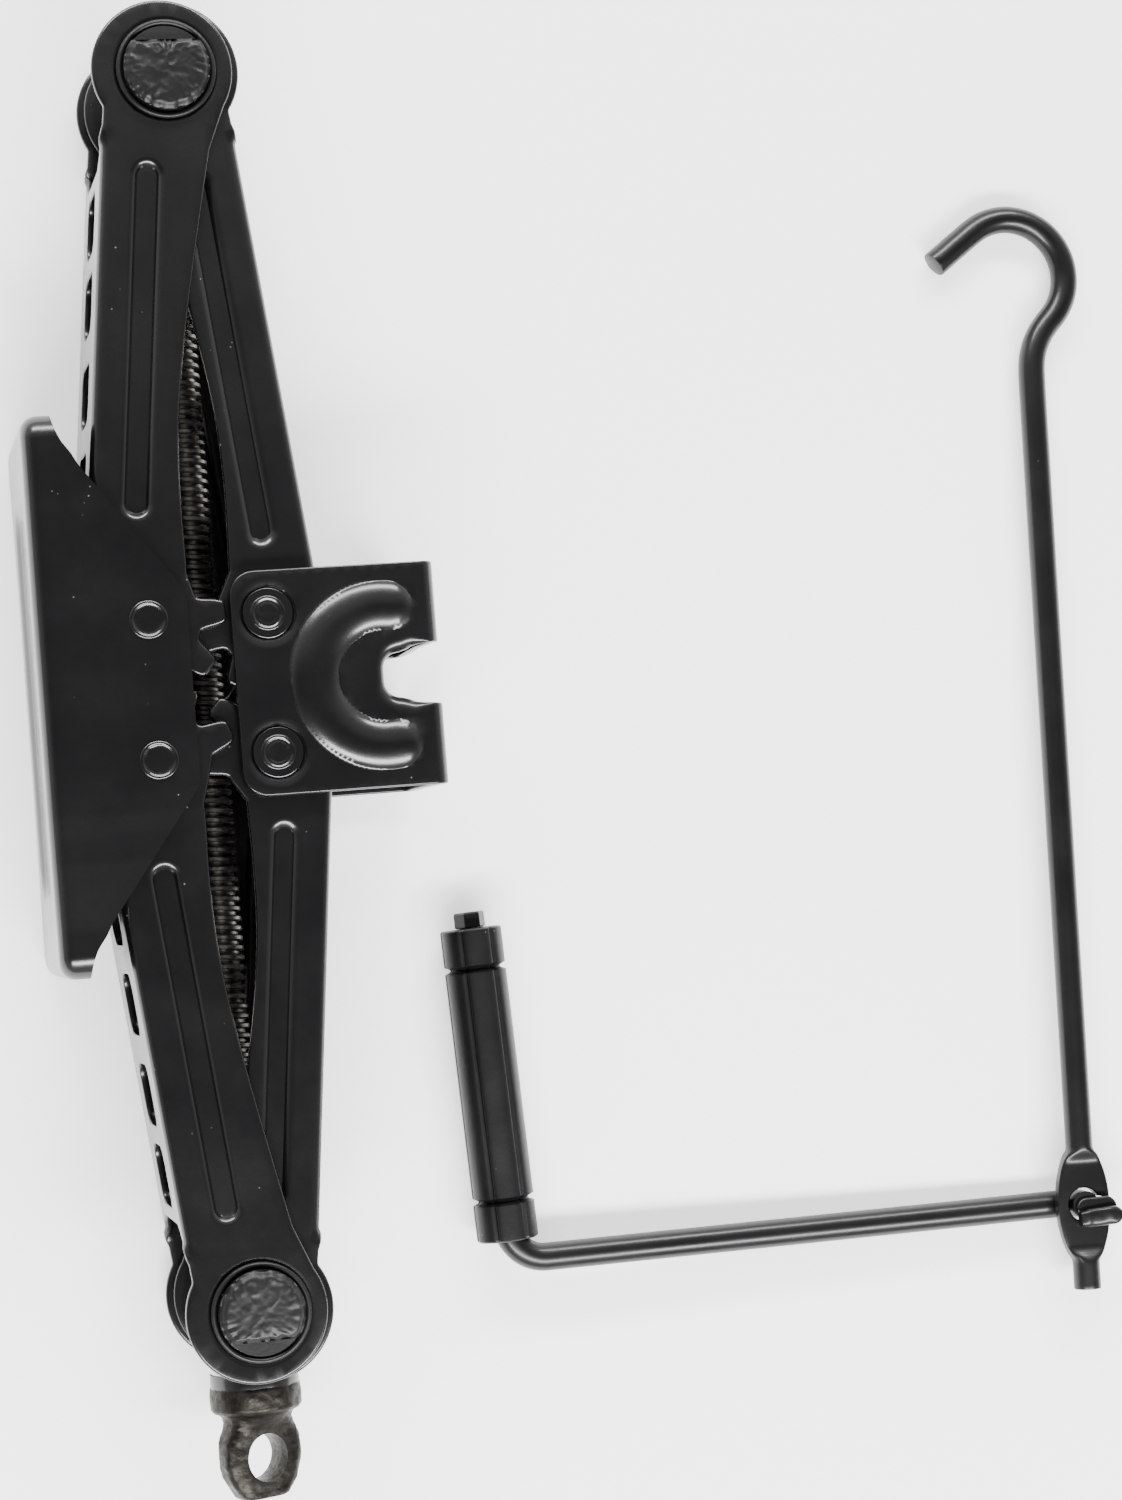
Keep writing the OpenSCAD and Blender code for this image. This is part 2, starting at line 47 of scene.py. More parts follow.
# ------------------------------------------------------------------ dimensions of the jack
ARM_LEN = 167.0
BASE_PIVOT = 33.7
GEAR_R = 21.0
FOLD = math.radians(6.2)
SHEET = 2.5
UPPER_HALF, LOWER_HALF, BASE_HALF, SADDLE_HALF = 27.0, 29.9, 32.8, 31.8
EAR_R, EAR_OFFSET = 21.3, 1.1
TRUNNION_R, TRUNNION_FLAT = 12.8, 8.0
RING_R, RING_Z, RING_TOP = 15.1, 30.3, 31.9     # ring outside each ear, and where it begins and ends
SEAT_HALF = 23.0                                # half length of a trunnion's milled seat
TEETH, TOOTH_ROOT, TOOTH_TIP = 8, 16.3, 23.8    # gear teeth to the whole turn, and their radii
TOOTH_A, TOOTH_B = 170.0, 192.5                 # where the first tooth of each meshing arm stands, degrees
TRUNNION_X = BASE_PIVOT + ARM_LEN * math.sin(FOLD)
TRUNNION_Y = GEAR_R + ARM_LEN * math.cos(FOLD)
SADDLE_PIVOT = BASE_PIVOT + 2 * ARM_LEN * math.sin(FOLD)
SADDLE_H, SADDLE_LEN, SADDLE_SKIRT = 51.8, 68.0, 11.2
FOOT_LEN, FLANGE_H, LIP_H = 168.0, 46.0, 9.0
THREAD_PITCH = 3.0
BAR_R = 4.5
JOINT = np.array([334.2, -187.8])


# ------------------------------------------------------------------ materials
def linear(hex_colour):
    """An sRGB hex colour as linear RGBA."""
    c = [int(hex_colour[i:i + 2], 16) / 255 for i in (1, 3, 5)]
    return [v / 12.92 if v <= 0.04045 else ((v + 0.055) / 1.055) ** 2.4 for v in c] + [1.0]


def node(tree, kind, links=None, **settings):
    """Adds a shader node. settings sets its properties, links joins or sets its inputs by name."""
    n = tree.nodes.new(kind)
    for k, v in settings.items():
        setattr(n, k, v)
    for k, v in (links or {}).items():
        socket = n.inputs[k]
        if isinstance(v, bpy.types.NodeSocket):
            tree.links.new(v, socket)
        else:
            socket.default_value = v
    return n


def painted(name, colour, worn, roughness, peel, coat, specks=0.0, grain=0.0, specular=0.5):
    """Paint or plastic: a colour that drifts, patchy gloss, fine orange peel and dust specks."""
    mat = bpy.data.materials.new(name)
    mat.use_nodes = True
    t = mat.node_tree
    shader = t.nodes["Principled BSDF"]
    at = node(t, "ShaderNodeTexCoord").outputs["Object"]
    clouds = node(t, "ShaderNodeTexNoise", {"Vector": at, "Scale": 38.0, "Detail": 4.0, "Roughness": 0.6})
    fine = node(t, "ShaderNodeTexNoise", {"Vector": at, "Scale": 900.0, "Detail": 2.0})
    tint = node(t, "ShaderNodeMix", {"Factor": clouds.outputs["Fac"], "A": linear(colour), "B": linear(worn)},
                data_type="RGBA")
    colour_out = tint.outputs["Result"]
    if specks:
        cells = node(t, "ShaderNodeTexVoronoi", {"Vector": at, "Scale": 260.0, "Randomness": 1.0})
        pick = node(t, "ShaderNodeTexNoise", {"Vector": at, "Scale": 75.0, "Detail": 1.0})
        near = node(t, "ShaderNodeMapRange", {"Value": cells.outputs["Distance"], "From Min": 0.05,
                                              "From Max": 0.085, "To Min": 1.0, "To Max": 0.0})
        some = node(t, "ShaderNodeMapRange",
                    {"Value": pick.outputs["Fac"], "From Min": 0.6, "From Max": 0.66})
        dust = node(t, "ShaderNodeMath", {0: near.outputs[0], 1: some.outputs[0]}, operation="MULTIPLY")
        dust = node(t, "ShaderNodeMath", {0: dust.outputs[0], 1: specks}, operation="MULTIPLY")
        mix = node(t, "ShaderNodeMix", {"Factor": dust.outputs[0], "A": colour_out, "B": linear("#8c857c")},
                   data_type="RGBA")
        colour_out = mix.outputs["Result"]
    t.links.new(colour_out, shader.inputs["Base Color"])
    gloss = node(t, "ShaderNodeMapRange", {"Value": clouds.outputs["Fac"], "From Min": 0.3, "From Max": 0.7,
                                           "To Min": roughness * 0.9, "To Max": roughness * 1.15})
    t.links.new(gloss.outputs[0], shader.inputs["Roughness"])
    wave = node(t, "ShaderNodeTexNoise", {"Vector": at, "Scale": 160.0, "Detail": 2.0})
    height = node(t, "ShaderNodeMath", {0: wave.outputs["Fac"], 1: fine.outputs["Fac"]}, operation="ADD")
    bump = node(t, "ShaderNodeBump", {"Height": height.outputs[0], "Strength": peel, "Distance": 0.0002})
    if grain:
        cloud = node(t, "ShaderNodeTexNoise", {"Vector": at, "Scale": 420.0, "Detail": 6.0, "Roughness": 0.7})
        bump = node(t, "ShaderNodeBump", {"Height": cloud.outputs["Fac"], "Strength": grain,
                                          "Distance": 0.0006, "Normal": bump.outputs[0]})
    t.links.new(bump.outputs[0], shader.inputs["Normal"])
    shader.inputs["Coat Weight"].default_value = coat
    shader.inputs["Coat Roughness"].default_value = 0.06
    shader.inputs["Specular IOR Level"].default_value = specular
    return mat


def metal(name, colour, stain, roughness, pits, metallic=1.0, streak=None):
    """Bare metal: colour that changes in patches, uneven roughness and fine pits or drawn streaks."""
    mat = bpy.data.materials.new(name)
    mat.use_nodes = True
    t = mat.node_tree
    shader = t.nodes["Principled BSDF"]
    at = node(t, "ShaderNodeTexCoord").outputs["Object"]
    if streak:
        at = node(t, "ShaderNodeMapping", {"Vector": at, "Scale": streak}).outputs[0]
    clouds = node(t, "ShaderNodeTexNoise", {"Vector": at, "Scale": 260.0, "Detail": 6.0, "Roughness": 0.65})
    grains = node(t, "ShaderNodeTexNoise", {"Vector": at, "Scale": 700.0, "Detail": 4.0, "Roughness": 0.7})
    share = node(t, "ShaderNodeMapRange",
                 {"Value": clouds.outputs["Fac"], "From Min": 0.38, "From Max": 0.62})
    tint = node(t, "ShaderNodeMix", {"Factor": share.outputs[0], "A": linear(colour), "B": linear(stain)},
                data_type="RGBA")
    t.links.new(tint.outputs["Result"], shader.inputs["Base Color"])
    rough = node(t, "ShaderNodeMapRange", {"Value": grains.outputs["Fac"], "From Min": 0.3, "From Max": 0.7,
                                           "To Min": roughness * 0.7, "To Max": min(1.0, roughness * 1.4)})
    t.links.new(rough.outputs[0], shader.inputs["Roughness"])
    bump = node(t, "ShaderNodeBump", {"Height": grains.outputs["Fac"], "Strength": pits, "Distance": 0.0004})
    t.links.new(bump.outputs[0], shader.inputs["Normal"])
    shader.inputs["Metallic"].default_value = metallic
    return mat


# gloss black stoving enamel on the pressed sheets, a little dusty
ENAMEL = painted("gloss black enamel", "#050506", "#09090a", 0.25, 0.06, 0.2, specks=0.4)
# the same enamel over the hammered ends of the trunnion bars
PEENED = painted("enamel on hammered steel", "#060607", "#0c0c0c", 0.42, 0.15, 0.0, grain=0.06, specular=0.35)
# satin black enamel on the handle's round bar
BAR = painted("satin black enamel on bar", "#050506", "#09090a", 0.33, 0.1, 0.1, specks=0.2, specular=0.35)
# semi-gloss moulded black plastic
PLASTIC = painted("moulded black plastic", "#060607", "#0a0a0b", 0.36, 0.2, 0.0, specks=0.35, specular=0.3)
# bare forged steel with brown-grey scale
FORGED = metal("forged steel, brown-grey scale", "#34322f", "#24221f", 0.42, 0.5)
# rolled thread, grey steel under a film of oil
THREAD = metal("rolled steel, oiled", "#7d7a76", "#5d5a57", 0.35, 0.2)
# hardened and ground bearing steel
BEARING = metal("ground bearing steel", "#b9babd", "#9c9da1", 0.2, 0.05)
# pressed brass
BRASS = metal("pressed brass", "#b08d4a", "#8c6d36", 0.35, 0.1)


# ------------------------------------------------------------------ mesh helpers
def build(name, verts, faces, material, body, replaces, smooth_angle=35.0, clean=True):
    """Makes a mesh piece from millimetre vertices, and says what it rides on and stands for."""
    return finish_piece(loose(name, verts, faces), material, body, replaces, smooth_angle, clean)


def finish_piece(ob, material, body, replaces, smooth_angle=35.0, clean=True):
    bm = bmesh.new()
    bm.from_mesh(ob.data)
    if clean:
        bmesh.ops.remove_doubles(bm, verts=bm.verts, dist=1e-6)
    bmesh.ops.recalc_face_normals(bm, faces=bm.faces)
    bm.to_mesh(ob.data)
    bm.free()
    ob.data.materials.clear()
    ob.data.materials.append(material)
    for p in ob.data.polygons:
        p.use_smooth = True
    ob.data.set_sharp_from_angle(angle=math.radians(smooth_angle))
    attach(ob, body)
    if replaces:
        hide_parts(*replaces)
    return ob


def smoothstep(a, b, x):
    t = np.clip((np.asarray(x, float) - a) / (b - a), 0, 1)
    return t * t * (3 - 2 * t)


def bump(x, centre, half_width):
    """1 at the centre, 0 beyond half_width, a cosine between."""
    d = np.clip(np.abs(np.asarray(x, float) - centre) / half_width, 0, 1)
    return 0.5 + 0.5 * np.cos(math.pi * d)


def arc(c, r, a0, a1, n):
    a = np.radians(np.linspace(a0, a1, n + 1))
    return np.c_[c[0] + r * np.cos(a), c[1] + r * np.sin(a)]


def bezier(a, b, c, d, n):
    t = np.linspace(0, 1, n + 1)[:, None]
    a, b, c, d = map(np.asarray, (a, b, c, d))
    return (1 - t) ** 3 * a + 3 * (1 - t) ** 2 * t * b + 3 * (1 - t) * t ** 2 * c + t ** 3 * d


def round_corners(points, radius, least=16.0):
    """A closed outline with its sharp corners replaced by arcs."""
    p = np.asarray(points, float)
    out = []
    n = len(p)
    for i in range(n):
        a, b, c = p[i - 1], p[i], p[(i + 1) % n]
        u, v = a - b, c - b
        lu, lv = np.linalg.norm(u), np.linalg.norm(v)
        if lu < 1e-6 or lv < 1e-6:
            continue
        u, v = u / lu, v / lv
        turn = math.pi - math.acos(float(np.clip(u @ v, -1, 1)))
        if math.degrees(turn) < least:
            out.append(b)
            continue
        cut = min(radius * math.tan(turn / 2), 0.46 * lu, 0.46 * lv)
        steps = max(2, int(math.degrees(turn) / 14))
        for k in range(steps + 1):
            t = k / steps
            out.append((1 - t) ** 2 * (b + u * cut) + 2 * t * (1 - t) * b + t ** 2 * (b + v * cut))
    return np.array(out)


def resample(points, step):
    """A closed outline with points no further apart than step."""
    p = np.asarray(points, float)
    out = []
    for i in range(len(p)):
        a, b = p[i], p[(i + 1) % len(p)]
        n = max(1, int(math.ceil(np.linalg.norm(b - a) / step)))
        out += [a + (b - a) * k / n for k in range(n)]
    out = np.array(out)
    keep = np.linalg.norm(out - np.roll(out, 1, axis=0), axis=1) > 0.12
    return out[keep]


def area(p):
    return 0.5 * np.sum(p[:, 0] * np.roll(p[:, 1], -1) - np.roll(p[:, 0], -1) * p[:, 1])


def grow(p, d):
    """A closed outline moved outward by d, which may be one number or one for each point."""
    a, b = np.roll(p, 1, axis=0), np.roll(p, -1, axis=0)
    t = b - a
    n = np.c_[t[:, 1], -t[:, 0]] / np.maximum(np.linalg.norm(t, axis=1), 1e-9)[:, None]
    if area(p) < 0:
        n = -n
    return p + n * np.reshape(d, (-1, 1))


def inside(points, loops):
    """Even-odd test of points against all the loops together."""
    x, y = points[:, 0], points[:, 1]
    hit = np.zeros(len(points), bool)
    for p in loops:
        q = np.roll(p, -1, axis=0)
        for (x0, y0), (x1, y1) in zip(p, q):
            if y0 != y1:
                hit ^= ((y0 > y) != (y1 > y)) & (x < (x1 - x0) * (y - y0) / (y1 - y0) + x0)
    return hit


def nearest(points, others):
    """Distance from each point to the nearest of the others."""
    best = np.full(len(points), 1e9)
    for i in range(0, len(others), 400):
        d = np.linalg.norm(points[:, None, :] - others[None, i:i + 400, :], axis=2)
        best = np.minimum(best, d.min(axis=1))
    return best


def fill(loops, spacing, extra=None):
    """Triangles over the region inside the loops. extra are points that the surface has to follow."""
    lo, hi = loops[0].min(0), loops[0].max(0)
    rows = np.arange(lo[1], hi[1], spacing * 0.87)
    grid = np.array([[x + (spacing / 2 if k % 2 else 0), y]
                     for k, y in enumerate(rows) for x in np.arange(lo[0], hi[0], spacing)])
    if extra is not None and len(extra):
        extra = np.round(np.asarray(extra), 4)
        _, first = np.unique(np.round(extra / 0.3), axis=0, return_index=True)
        extra = extra[np.sort(first)]
        grid = grid[nearest(grid, extra) > 0.55 * spacing]
        grid = np.r_[extra, grid]
    edge = np.concatenate(loops)
    grid = grid[inside(grid, loops)]
    grid = grid[nearest(grid, edge) > 0.7]
    coords = [Vector(map(float, p)) for p in np.r_[edge, grid]]
    edges, at = [], 0
    for p in loops:
        edges += [(at + i, at + (i + 1) % len(p)) for i in range(len(p))]
        at += len(p)
    verts, _, faces, origin, _, _ = delaunay_2d_cdt(coords, edges, [], 0, 1e-7)
    verts = np.array([v[:] for v in verts])
    faces = np.array([f for f in faces if len(f) == 3])
    centre = verts[faces].mean(axis=1)
    faces = faces[inside(centre, loops)]
    where = {k: i for i, o in enumerate(origin) for k in o}
    rings, at = [], 0
    for p in loops:
        rings.append([where[at + i] for i in range(len(p))])
        at += len(p)
    used = np.unique(faces)
    back = {int(v): i for i, v in enumerate(used)}
    faces = np.array([[back[int(v)] for v in f] for f in faces])
    rings = [[back[r] for r in ring if r in back] for ring in rings]
    return verts[used], faces, rings


def rounded_rim(t, e):
    """Steps (outward, up) round a sheared edge of a sheet, from its top face to its underside."""
    h = t / 2
    top = [(e * math.sin(a), h - e + e * math.cos(a)) for a in np.radians((30, 60, 90))]
    return top + [(o, -u) for o, u in reversed(top)]


def rolled_rim(t, depth, tight=1.0):
    """Steps round an edge that is turned down into a flange of that depth."""
    h, outer = t / 2, tight + t
    top = [(outer * math.sin(a), h - outer + outer * math.cos(a)) for a in np.radians((22, 45, 68, 90))]
    end = [(outer, -depth + 0.7), (outer - 0.6, -depth), (tight + 0.6, -depth), (tight, -depth + 0.7)]
    under = [(tight * math.sin(a), h - outer + tight * math.cos(a)) for a in np.radians((90, 55, 25))]
    return top + end + under


def thicken(mid, faces, rings, t, rims, weights=None):
    """Makes a closed sheet of thickness t from its middle surface. rims has one list of steps per ring.
    weights, where given, blends each point of a ring from the plain rim to its own."""
    mid, faces = np.asarray(mid, float), [list(f) for f in faces]
    tri = np.array([f[:3] for f in faces])
    fn = np.cross(mid[tri[:, 1]] - mid[tri[:, 0]], mid[tri[:, 2]] - mid[tri[:, 0]])
    normal = np.zeros_like(mid)
    for f, n in zip(faces, fn):
        for v in f:
            normal[v] += n
    normal /= np.maximum(np.linalg.norm(normal, axis=1), 1e-12)[:, None]
    n = len(mid)
    verts = [mid + normal * t / 2, mid - normal * t / 2]
    out = faces + [[v + n for v in reversed(f)] for f in faces]
    at = 2 * n
    for k, (ring, rim) in enumerate(zip(rings, rims)):
        p, nn = mid[ring], normal[ring]
        tangent = np.roll(p, -1, axis=0) - np.roll(p, 1, axis=0)
        away = np.cross(tangent, nn)
        away /= np.maximum(np.linalg.norm(away, axis=1), 1e-12)[:, None]
        w = np.ones(len(ring)) if weights is None or weights[k] is None else weights[k]
        plain = rounded_rim(t, 0.5)
        if len(plain) != len(rim):
            steps = np.linspace(0, len(plain) - 1, len(rim))
            plain = [tuple(np.array(plain[int(round(s))])) for s in steps]
        levels = [ring]
        for (o1, u1), (o0, u0) in zip(rim, plain):
            o, u = o0 + (o1 - o0) * w, u0 + (u1 - u0) * w
            verts.append(p + away * o[:, None] + nn * u[:, None])
            levels.append(list(range(at, at + len(ring))))
            at += len(ring)
        levels.append([v + n for v in ring])
        for a, b in zip(levels, levels[1:]):
            for i in range(len(ring)):
                j = (i + 1) % len(ring)
                out.append([a[j], a[i], b[i], b[j]])
    return np.concatenate(verts), out


def grid_faces(rows, columns, closed=True, start=0):
    """Quads over a grid of rows x columns, closed along its columns."""
    out = []
    last = columns if closed else columns - 1
    for i in range(rows - 1):
        for j in range(last):
            k = (j + 1) % columns
            out.append([start + i * columns + j, start + i * columns + k,
                        start + (i + 1) * columns + k, start + (i + 1) * columns + j])
    return out


def lathe(profile, segments=96):
    """Rings about local Z for (radius, height) pairs; the ends are closed by a fan to the axis."""
    a = np.linspace(0, 2 * math.pi, segments, endpoint=False)
    verts = np.concatenate([np.c_[r * np.cos(a), r * np.sin(a), np.full(segments, z)] for r, z in profile])
    faces = grid_faces(len(profile), segments)
    faces += [list(range(segments)), list(range(len(verts) - segments, len(verts)))]
    return verts, faces


def sweep(path, section, up=(0, 0, 1), segments=40):
    """A bar along a path. section(i) gives the half width, half height and squareness at point i."""
    path = np.asarray(path, float)
    tangent = np.gradient(path, axis=0)
    tangent /= np.linalg.norm(tangent, axis=1)[:, None]
    side = np.cross(tangent, np.asarray(up, float))
    side /= np.linalg.norm(side, axis=1)[:, None]
    top = np.cross(side, tangent)
    a = np.linspace(0, 2 * math.pi, segments, endpoint=False)
    verts = []
    for i, p in enumerate(path):
        w, h, sq = section(i)
        c = np.sign(np.cos(a)) * np.abs(np.cos(a)) ** (2 / sq)
        s = np.sign(np.sin(a)) * np.abs(np.sin(a)) ** (2 / sq)
        verts.append(p + np.outer(c * w, side[i]) + np.outer(s * h, top[i]))
    faces = grid_faces(len(path), segments)
    verts = np.concatenate(verts)
    faces += [list(range(segments)), list(range(len(verts) - segments, len(verts)))]
    return verts, faces


def cut(ob, cutter, operation="DIFFERENCE"):
    """Applies a boolean to ob and throws the cutter away."""
    for o in (ob, cutter):
        bm = bmesh.new()
        bm.from_mesh(o.data)
        bmesh.ops.remove_doubles(bm, verts=bm.verts, dist=1e-6)
        bmesh.ops.recalc_face_normals(bm, faces=bm.faces)
        bm.to_mesh(o.data)
        bm.free()
    mod = ob.modifiers.new("cut", "BOOLEAN")
    mod.operation, mod.object, mod.solver = operation, cutter, "EXACT"
    bpy.context.view_layer.update()
    baked = bpy.data.meshes.new_from_object(ob.evaluated_get(bpy.context.evaluated_depsgraph_get()))
    ob.modifiers.clear()
    ob.data = baked
    bpy.data.objects.remove(cutter)


def loose(name, verts, faces):
    """A bare object from millimetre vertices, to be cut or to cut with."""
    me = bpy.data.meshes.new(name)
    me.from_pydata((np.asarray(verts, float) * MM).tolist(), [], [list(map(int, f)) for f in faces])
    ob = bpy.data.objects.new(name, me)
    bpy.context.scene.collection.objects.link(ob)
    return ob


# ------------------------------------------------------------------ pressed arms
def gear_rim(angle, first_tooth):
    wave = np.maximum(0, 0.5 + 0.5 * np.cos(np.radians((angle - first_tooth) * TEETH)))
    return TOOTH_ROOT + (TOOTH_TIP - TOOTH_ROOT) * smoothstep(0.02, 0.85, wave)


def arm(side, upper):
    """One folded channel arm: beaded sides, windowed web, holed ears (stepped under the trunnion's ring on
    the lower arms) and gear teeth.
    """
    half = UPPER_HALF if upper else LOWER_HALF
    back = 17.5 if upper else 18.6
    belly, root_w = (4.2, 8.5) if upper else (7.5, 11.3)
    first = TOOTH_B if (side > 0) == upper else TOOTH_A
    windows, window_w = ((48, 84, 120), 24) if upper else ((43, 71, 99, 124), 26)
    t, bend = SHEET, 3.0
    mid_r = bend - t / 2
    h = half - t / 2
    flat_w = -back + bend                    # where the side's flat ends and the bend begins
    web_u = h - mid_r                        # where the web's flat ends
    u_of = lambda w: web_u + mid_r * math.pi / 2 + (w - flat_w)
    bead_w, bead_half = (-3.2, 5.2) if upper else (-4.4, 5.1)
    bead_from, bead_to = (20, 137) if upper else (30, 139.5)
    hole_r, edge_e = TRUNNION_R + 0.5, 0.9

    # the side's outline from the bend's start by the gear rim, over the open edge, to the bend's end
    angles = np.arange(max(first - 2.5 * 360 / TEETH, 57), 215.1, 1.5)
    rim = (gear_rim(angles, first) * [np.cos(np.radians(angles)), np.sin(np.radians(angles))]).T
    neck, waist, root = (ARM_LEN - 21, EAR_R * 0.67), (ARM_LEN * 0.37, belly), (15, root_w)
    edge = np.r_[bezier(neck, (ARM_LEN * 0.74, belly + 4.6), (ARM_LEN * 0.52, belly), waist, 30)[1:],
                 bezier(waist, (ARM_LEN * 0.24, belly), (23, belly + 3.5), root, 24)[1:]]
    # round the ear, anticlockwise from its underside to the neck
    a_start = -180 + math.degrees(math.asin((back - 0.3 - EAR_OFFSET) / EAR_R))
    ear = arc((ARM_LEN, -EAR_OFFSET), EAR_R, a_start, 116, 60)
    outline = np.r_[ear, edge, rim, [[-6, flat_w + 0.3]]]
    half_blank = np.c_[outline[:, 0], np.array([u_of(w) for w in outline[:, 1]])]
    web_end = ARM_LEN - 24
    corner = [[1, u_of(flat_w) - 0.5], [3, web_u + 2], [4, web_u - 3]]
    far = [[web_end - 5, web_u - 9], [web_end - 3, web_u - 5], [web_end - 0.5, web_u - 2.4],
           [web_end + 2.5, web_u - 1], [web_end + 6, u_of(-back) + 0.2]]
    top = np.r_[half_blank, corner]
    bottom = np.c_[top[::-1, 0], -top[::-1, 1]]
    far_low = [[s, -u] for s, u in far[::-1]]
    blank = np.r_[top, bottom, far_low, far]
    blank = round_corners(blank, 1.6, 20)
    blank = resample(blank, 1.5)
    if area(blank) < 0:
        blank = blank[::-1]
    loops = [grow(blank, -edge_e)]
    for sgn in (1, -1):
        ring = arc((ARM_LEN, sgn * u_of(0)), hole_r, 0, 360, 72)[:-1]
        loops.append(grow(ring[::-1], 0.5))
    for s in windows:
        a, b = 9.5, window_w / 2
        w = round_corners([[s - a, -b], [s + a, -b], [s + a, b], [s - a, b]], 6.0)
        loops.append(grow(resample(w, 1.5), 0.5)[::-1])

    # rows along the bends and round the beads, so that the surface follows them smoothly
    extra = []
    for sgn in (1, -1):
        for k in range(-1, 8):
            u = sgn * (web_u + mid_r * math.pi / 2 * k / 6)
            extra += [[s, u] for s in np.arange(2, web_end, 1.6)]
        for off in (0.01, 0.3, 0.55, 0.62, 0.69, 0.76, 0.84, 0.92, 1.0, 1.1):
            r = bead_half * off
            u0 = u_of(bead_w)
            for s in np.arange(bead_from + bead_half, bead_to - bead_half, 1.6):
                extra += [[s, sgn * (u0 + r)], [s, sgn * (u0 - r)]]
            for a in np.linspace(-90, 90, max(5, int(r * 5))):
                c, sn = math.cos(math.radians(a)) * r, math.sin(math.radians(a)) * r
                extra += [[bead_to - bead_half + c, sgn * (u0 + sn)],
                          [bead_from + bead_half - c, sgn * (u0 + sn)]]
        for r in (14.5, 15.2, 15.5, 15.8, 16.6):
            extra += (arc((ARM_LEN, sgn * u_of(0)), r, 0, 355, 71)).tolist()
    flat, faces, rings = fill(loops, 3.0, np.array(extra))

    s, u = flat[:, 0], flat[:, 1]
    au, sg = np.abs(u), np.sign(u)
    drawn = np.maximum(1 - smoothstep(-1, 3, s), smoothstep(web_end - 1, web_end + 4, s))
    w = au - u_of(0)
    z = np.full(len(s), h)
    a = np.clip((au - web_u) / mid_r, 0, math.pi / 2)
    bent = au < u_of(flat_w)
    # in the bend's last few millimetres the fold runs out into the flat side
    bent_w = -back + t / 2 + mid_r * (1 - np.cos(a))
    bent_z = np.where(au < web_u, au, web_u + mid_r * np.sin(a))
    z = np.where(bent, bent_z + (z - bent_z) * drawn, z)
    w = np.where(bent, bent_w + (w - bent_w) * drawn, w)
    # inward beads, and the step under the trunnion's ring
    along = np.clip(s, bead_from + bead_half, bead_to - bead_half)
    away = np.hypot(s - along, (au - u_of(0)) - bead_w)
    if upper:
        sink = -0.5 * (1 - smoothstep(4.0, bead_half, away)) - 1.1 * (1 - smoothstep(3.1, 4.1, away))
    else:
        sink = -1.6 * (1 - smoothstep(3.2, bead_half, away))
    d = np.hypot(s - ARM_LEN, au - u_of(0))
    if not upper:
        sink -= 0.4 * (1 - smoothstep(RING_R + 0.1, RING_R + 0.7, d))
    z = z + np.where(bent, 0, sink)
    z = z * sg
    f = math.sin(FOLD), math.cos(FOLD)
    if upper:
        x = SADDLE_PIVOT - s * f[0] - w * f[1]
    else:
        x = BASE_PIVOT + s * f[0] + w * f[1]
    y = side * (GEAR_R + s * f[1] - w * f[0])
    rims = [rounded_rim(t, edge_e)] + [rounded_rim(t, 0.5)] * (len(rings) - 1)
    verts, quads = thicken(np.c_[x, y, z], faces, rings, t, rims)
    number = "1" if side > 0 else "2"
    kind = "upper" if upper else "lower"
    return build(f"pressed_{kind}_arm_{number}", verts, quads, ENAMEL, f"{kind}_arm_{number}",
                 [f"{kind}_arm_{number}"], 40)


for side in (1, -1):
    arm(side, False)
    arm(side, True)


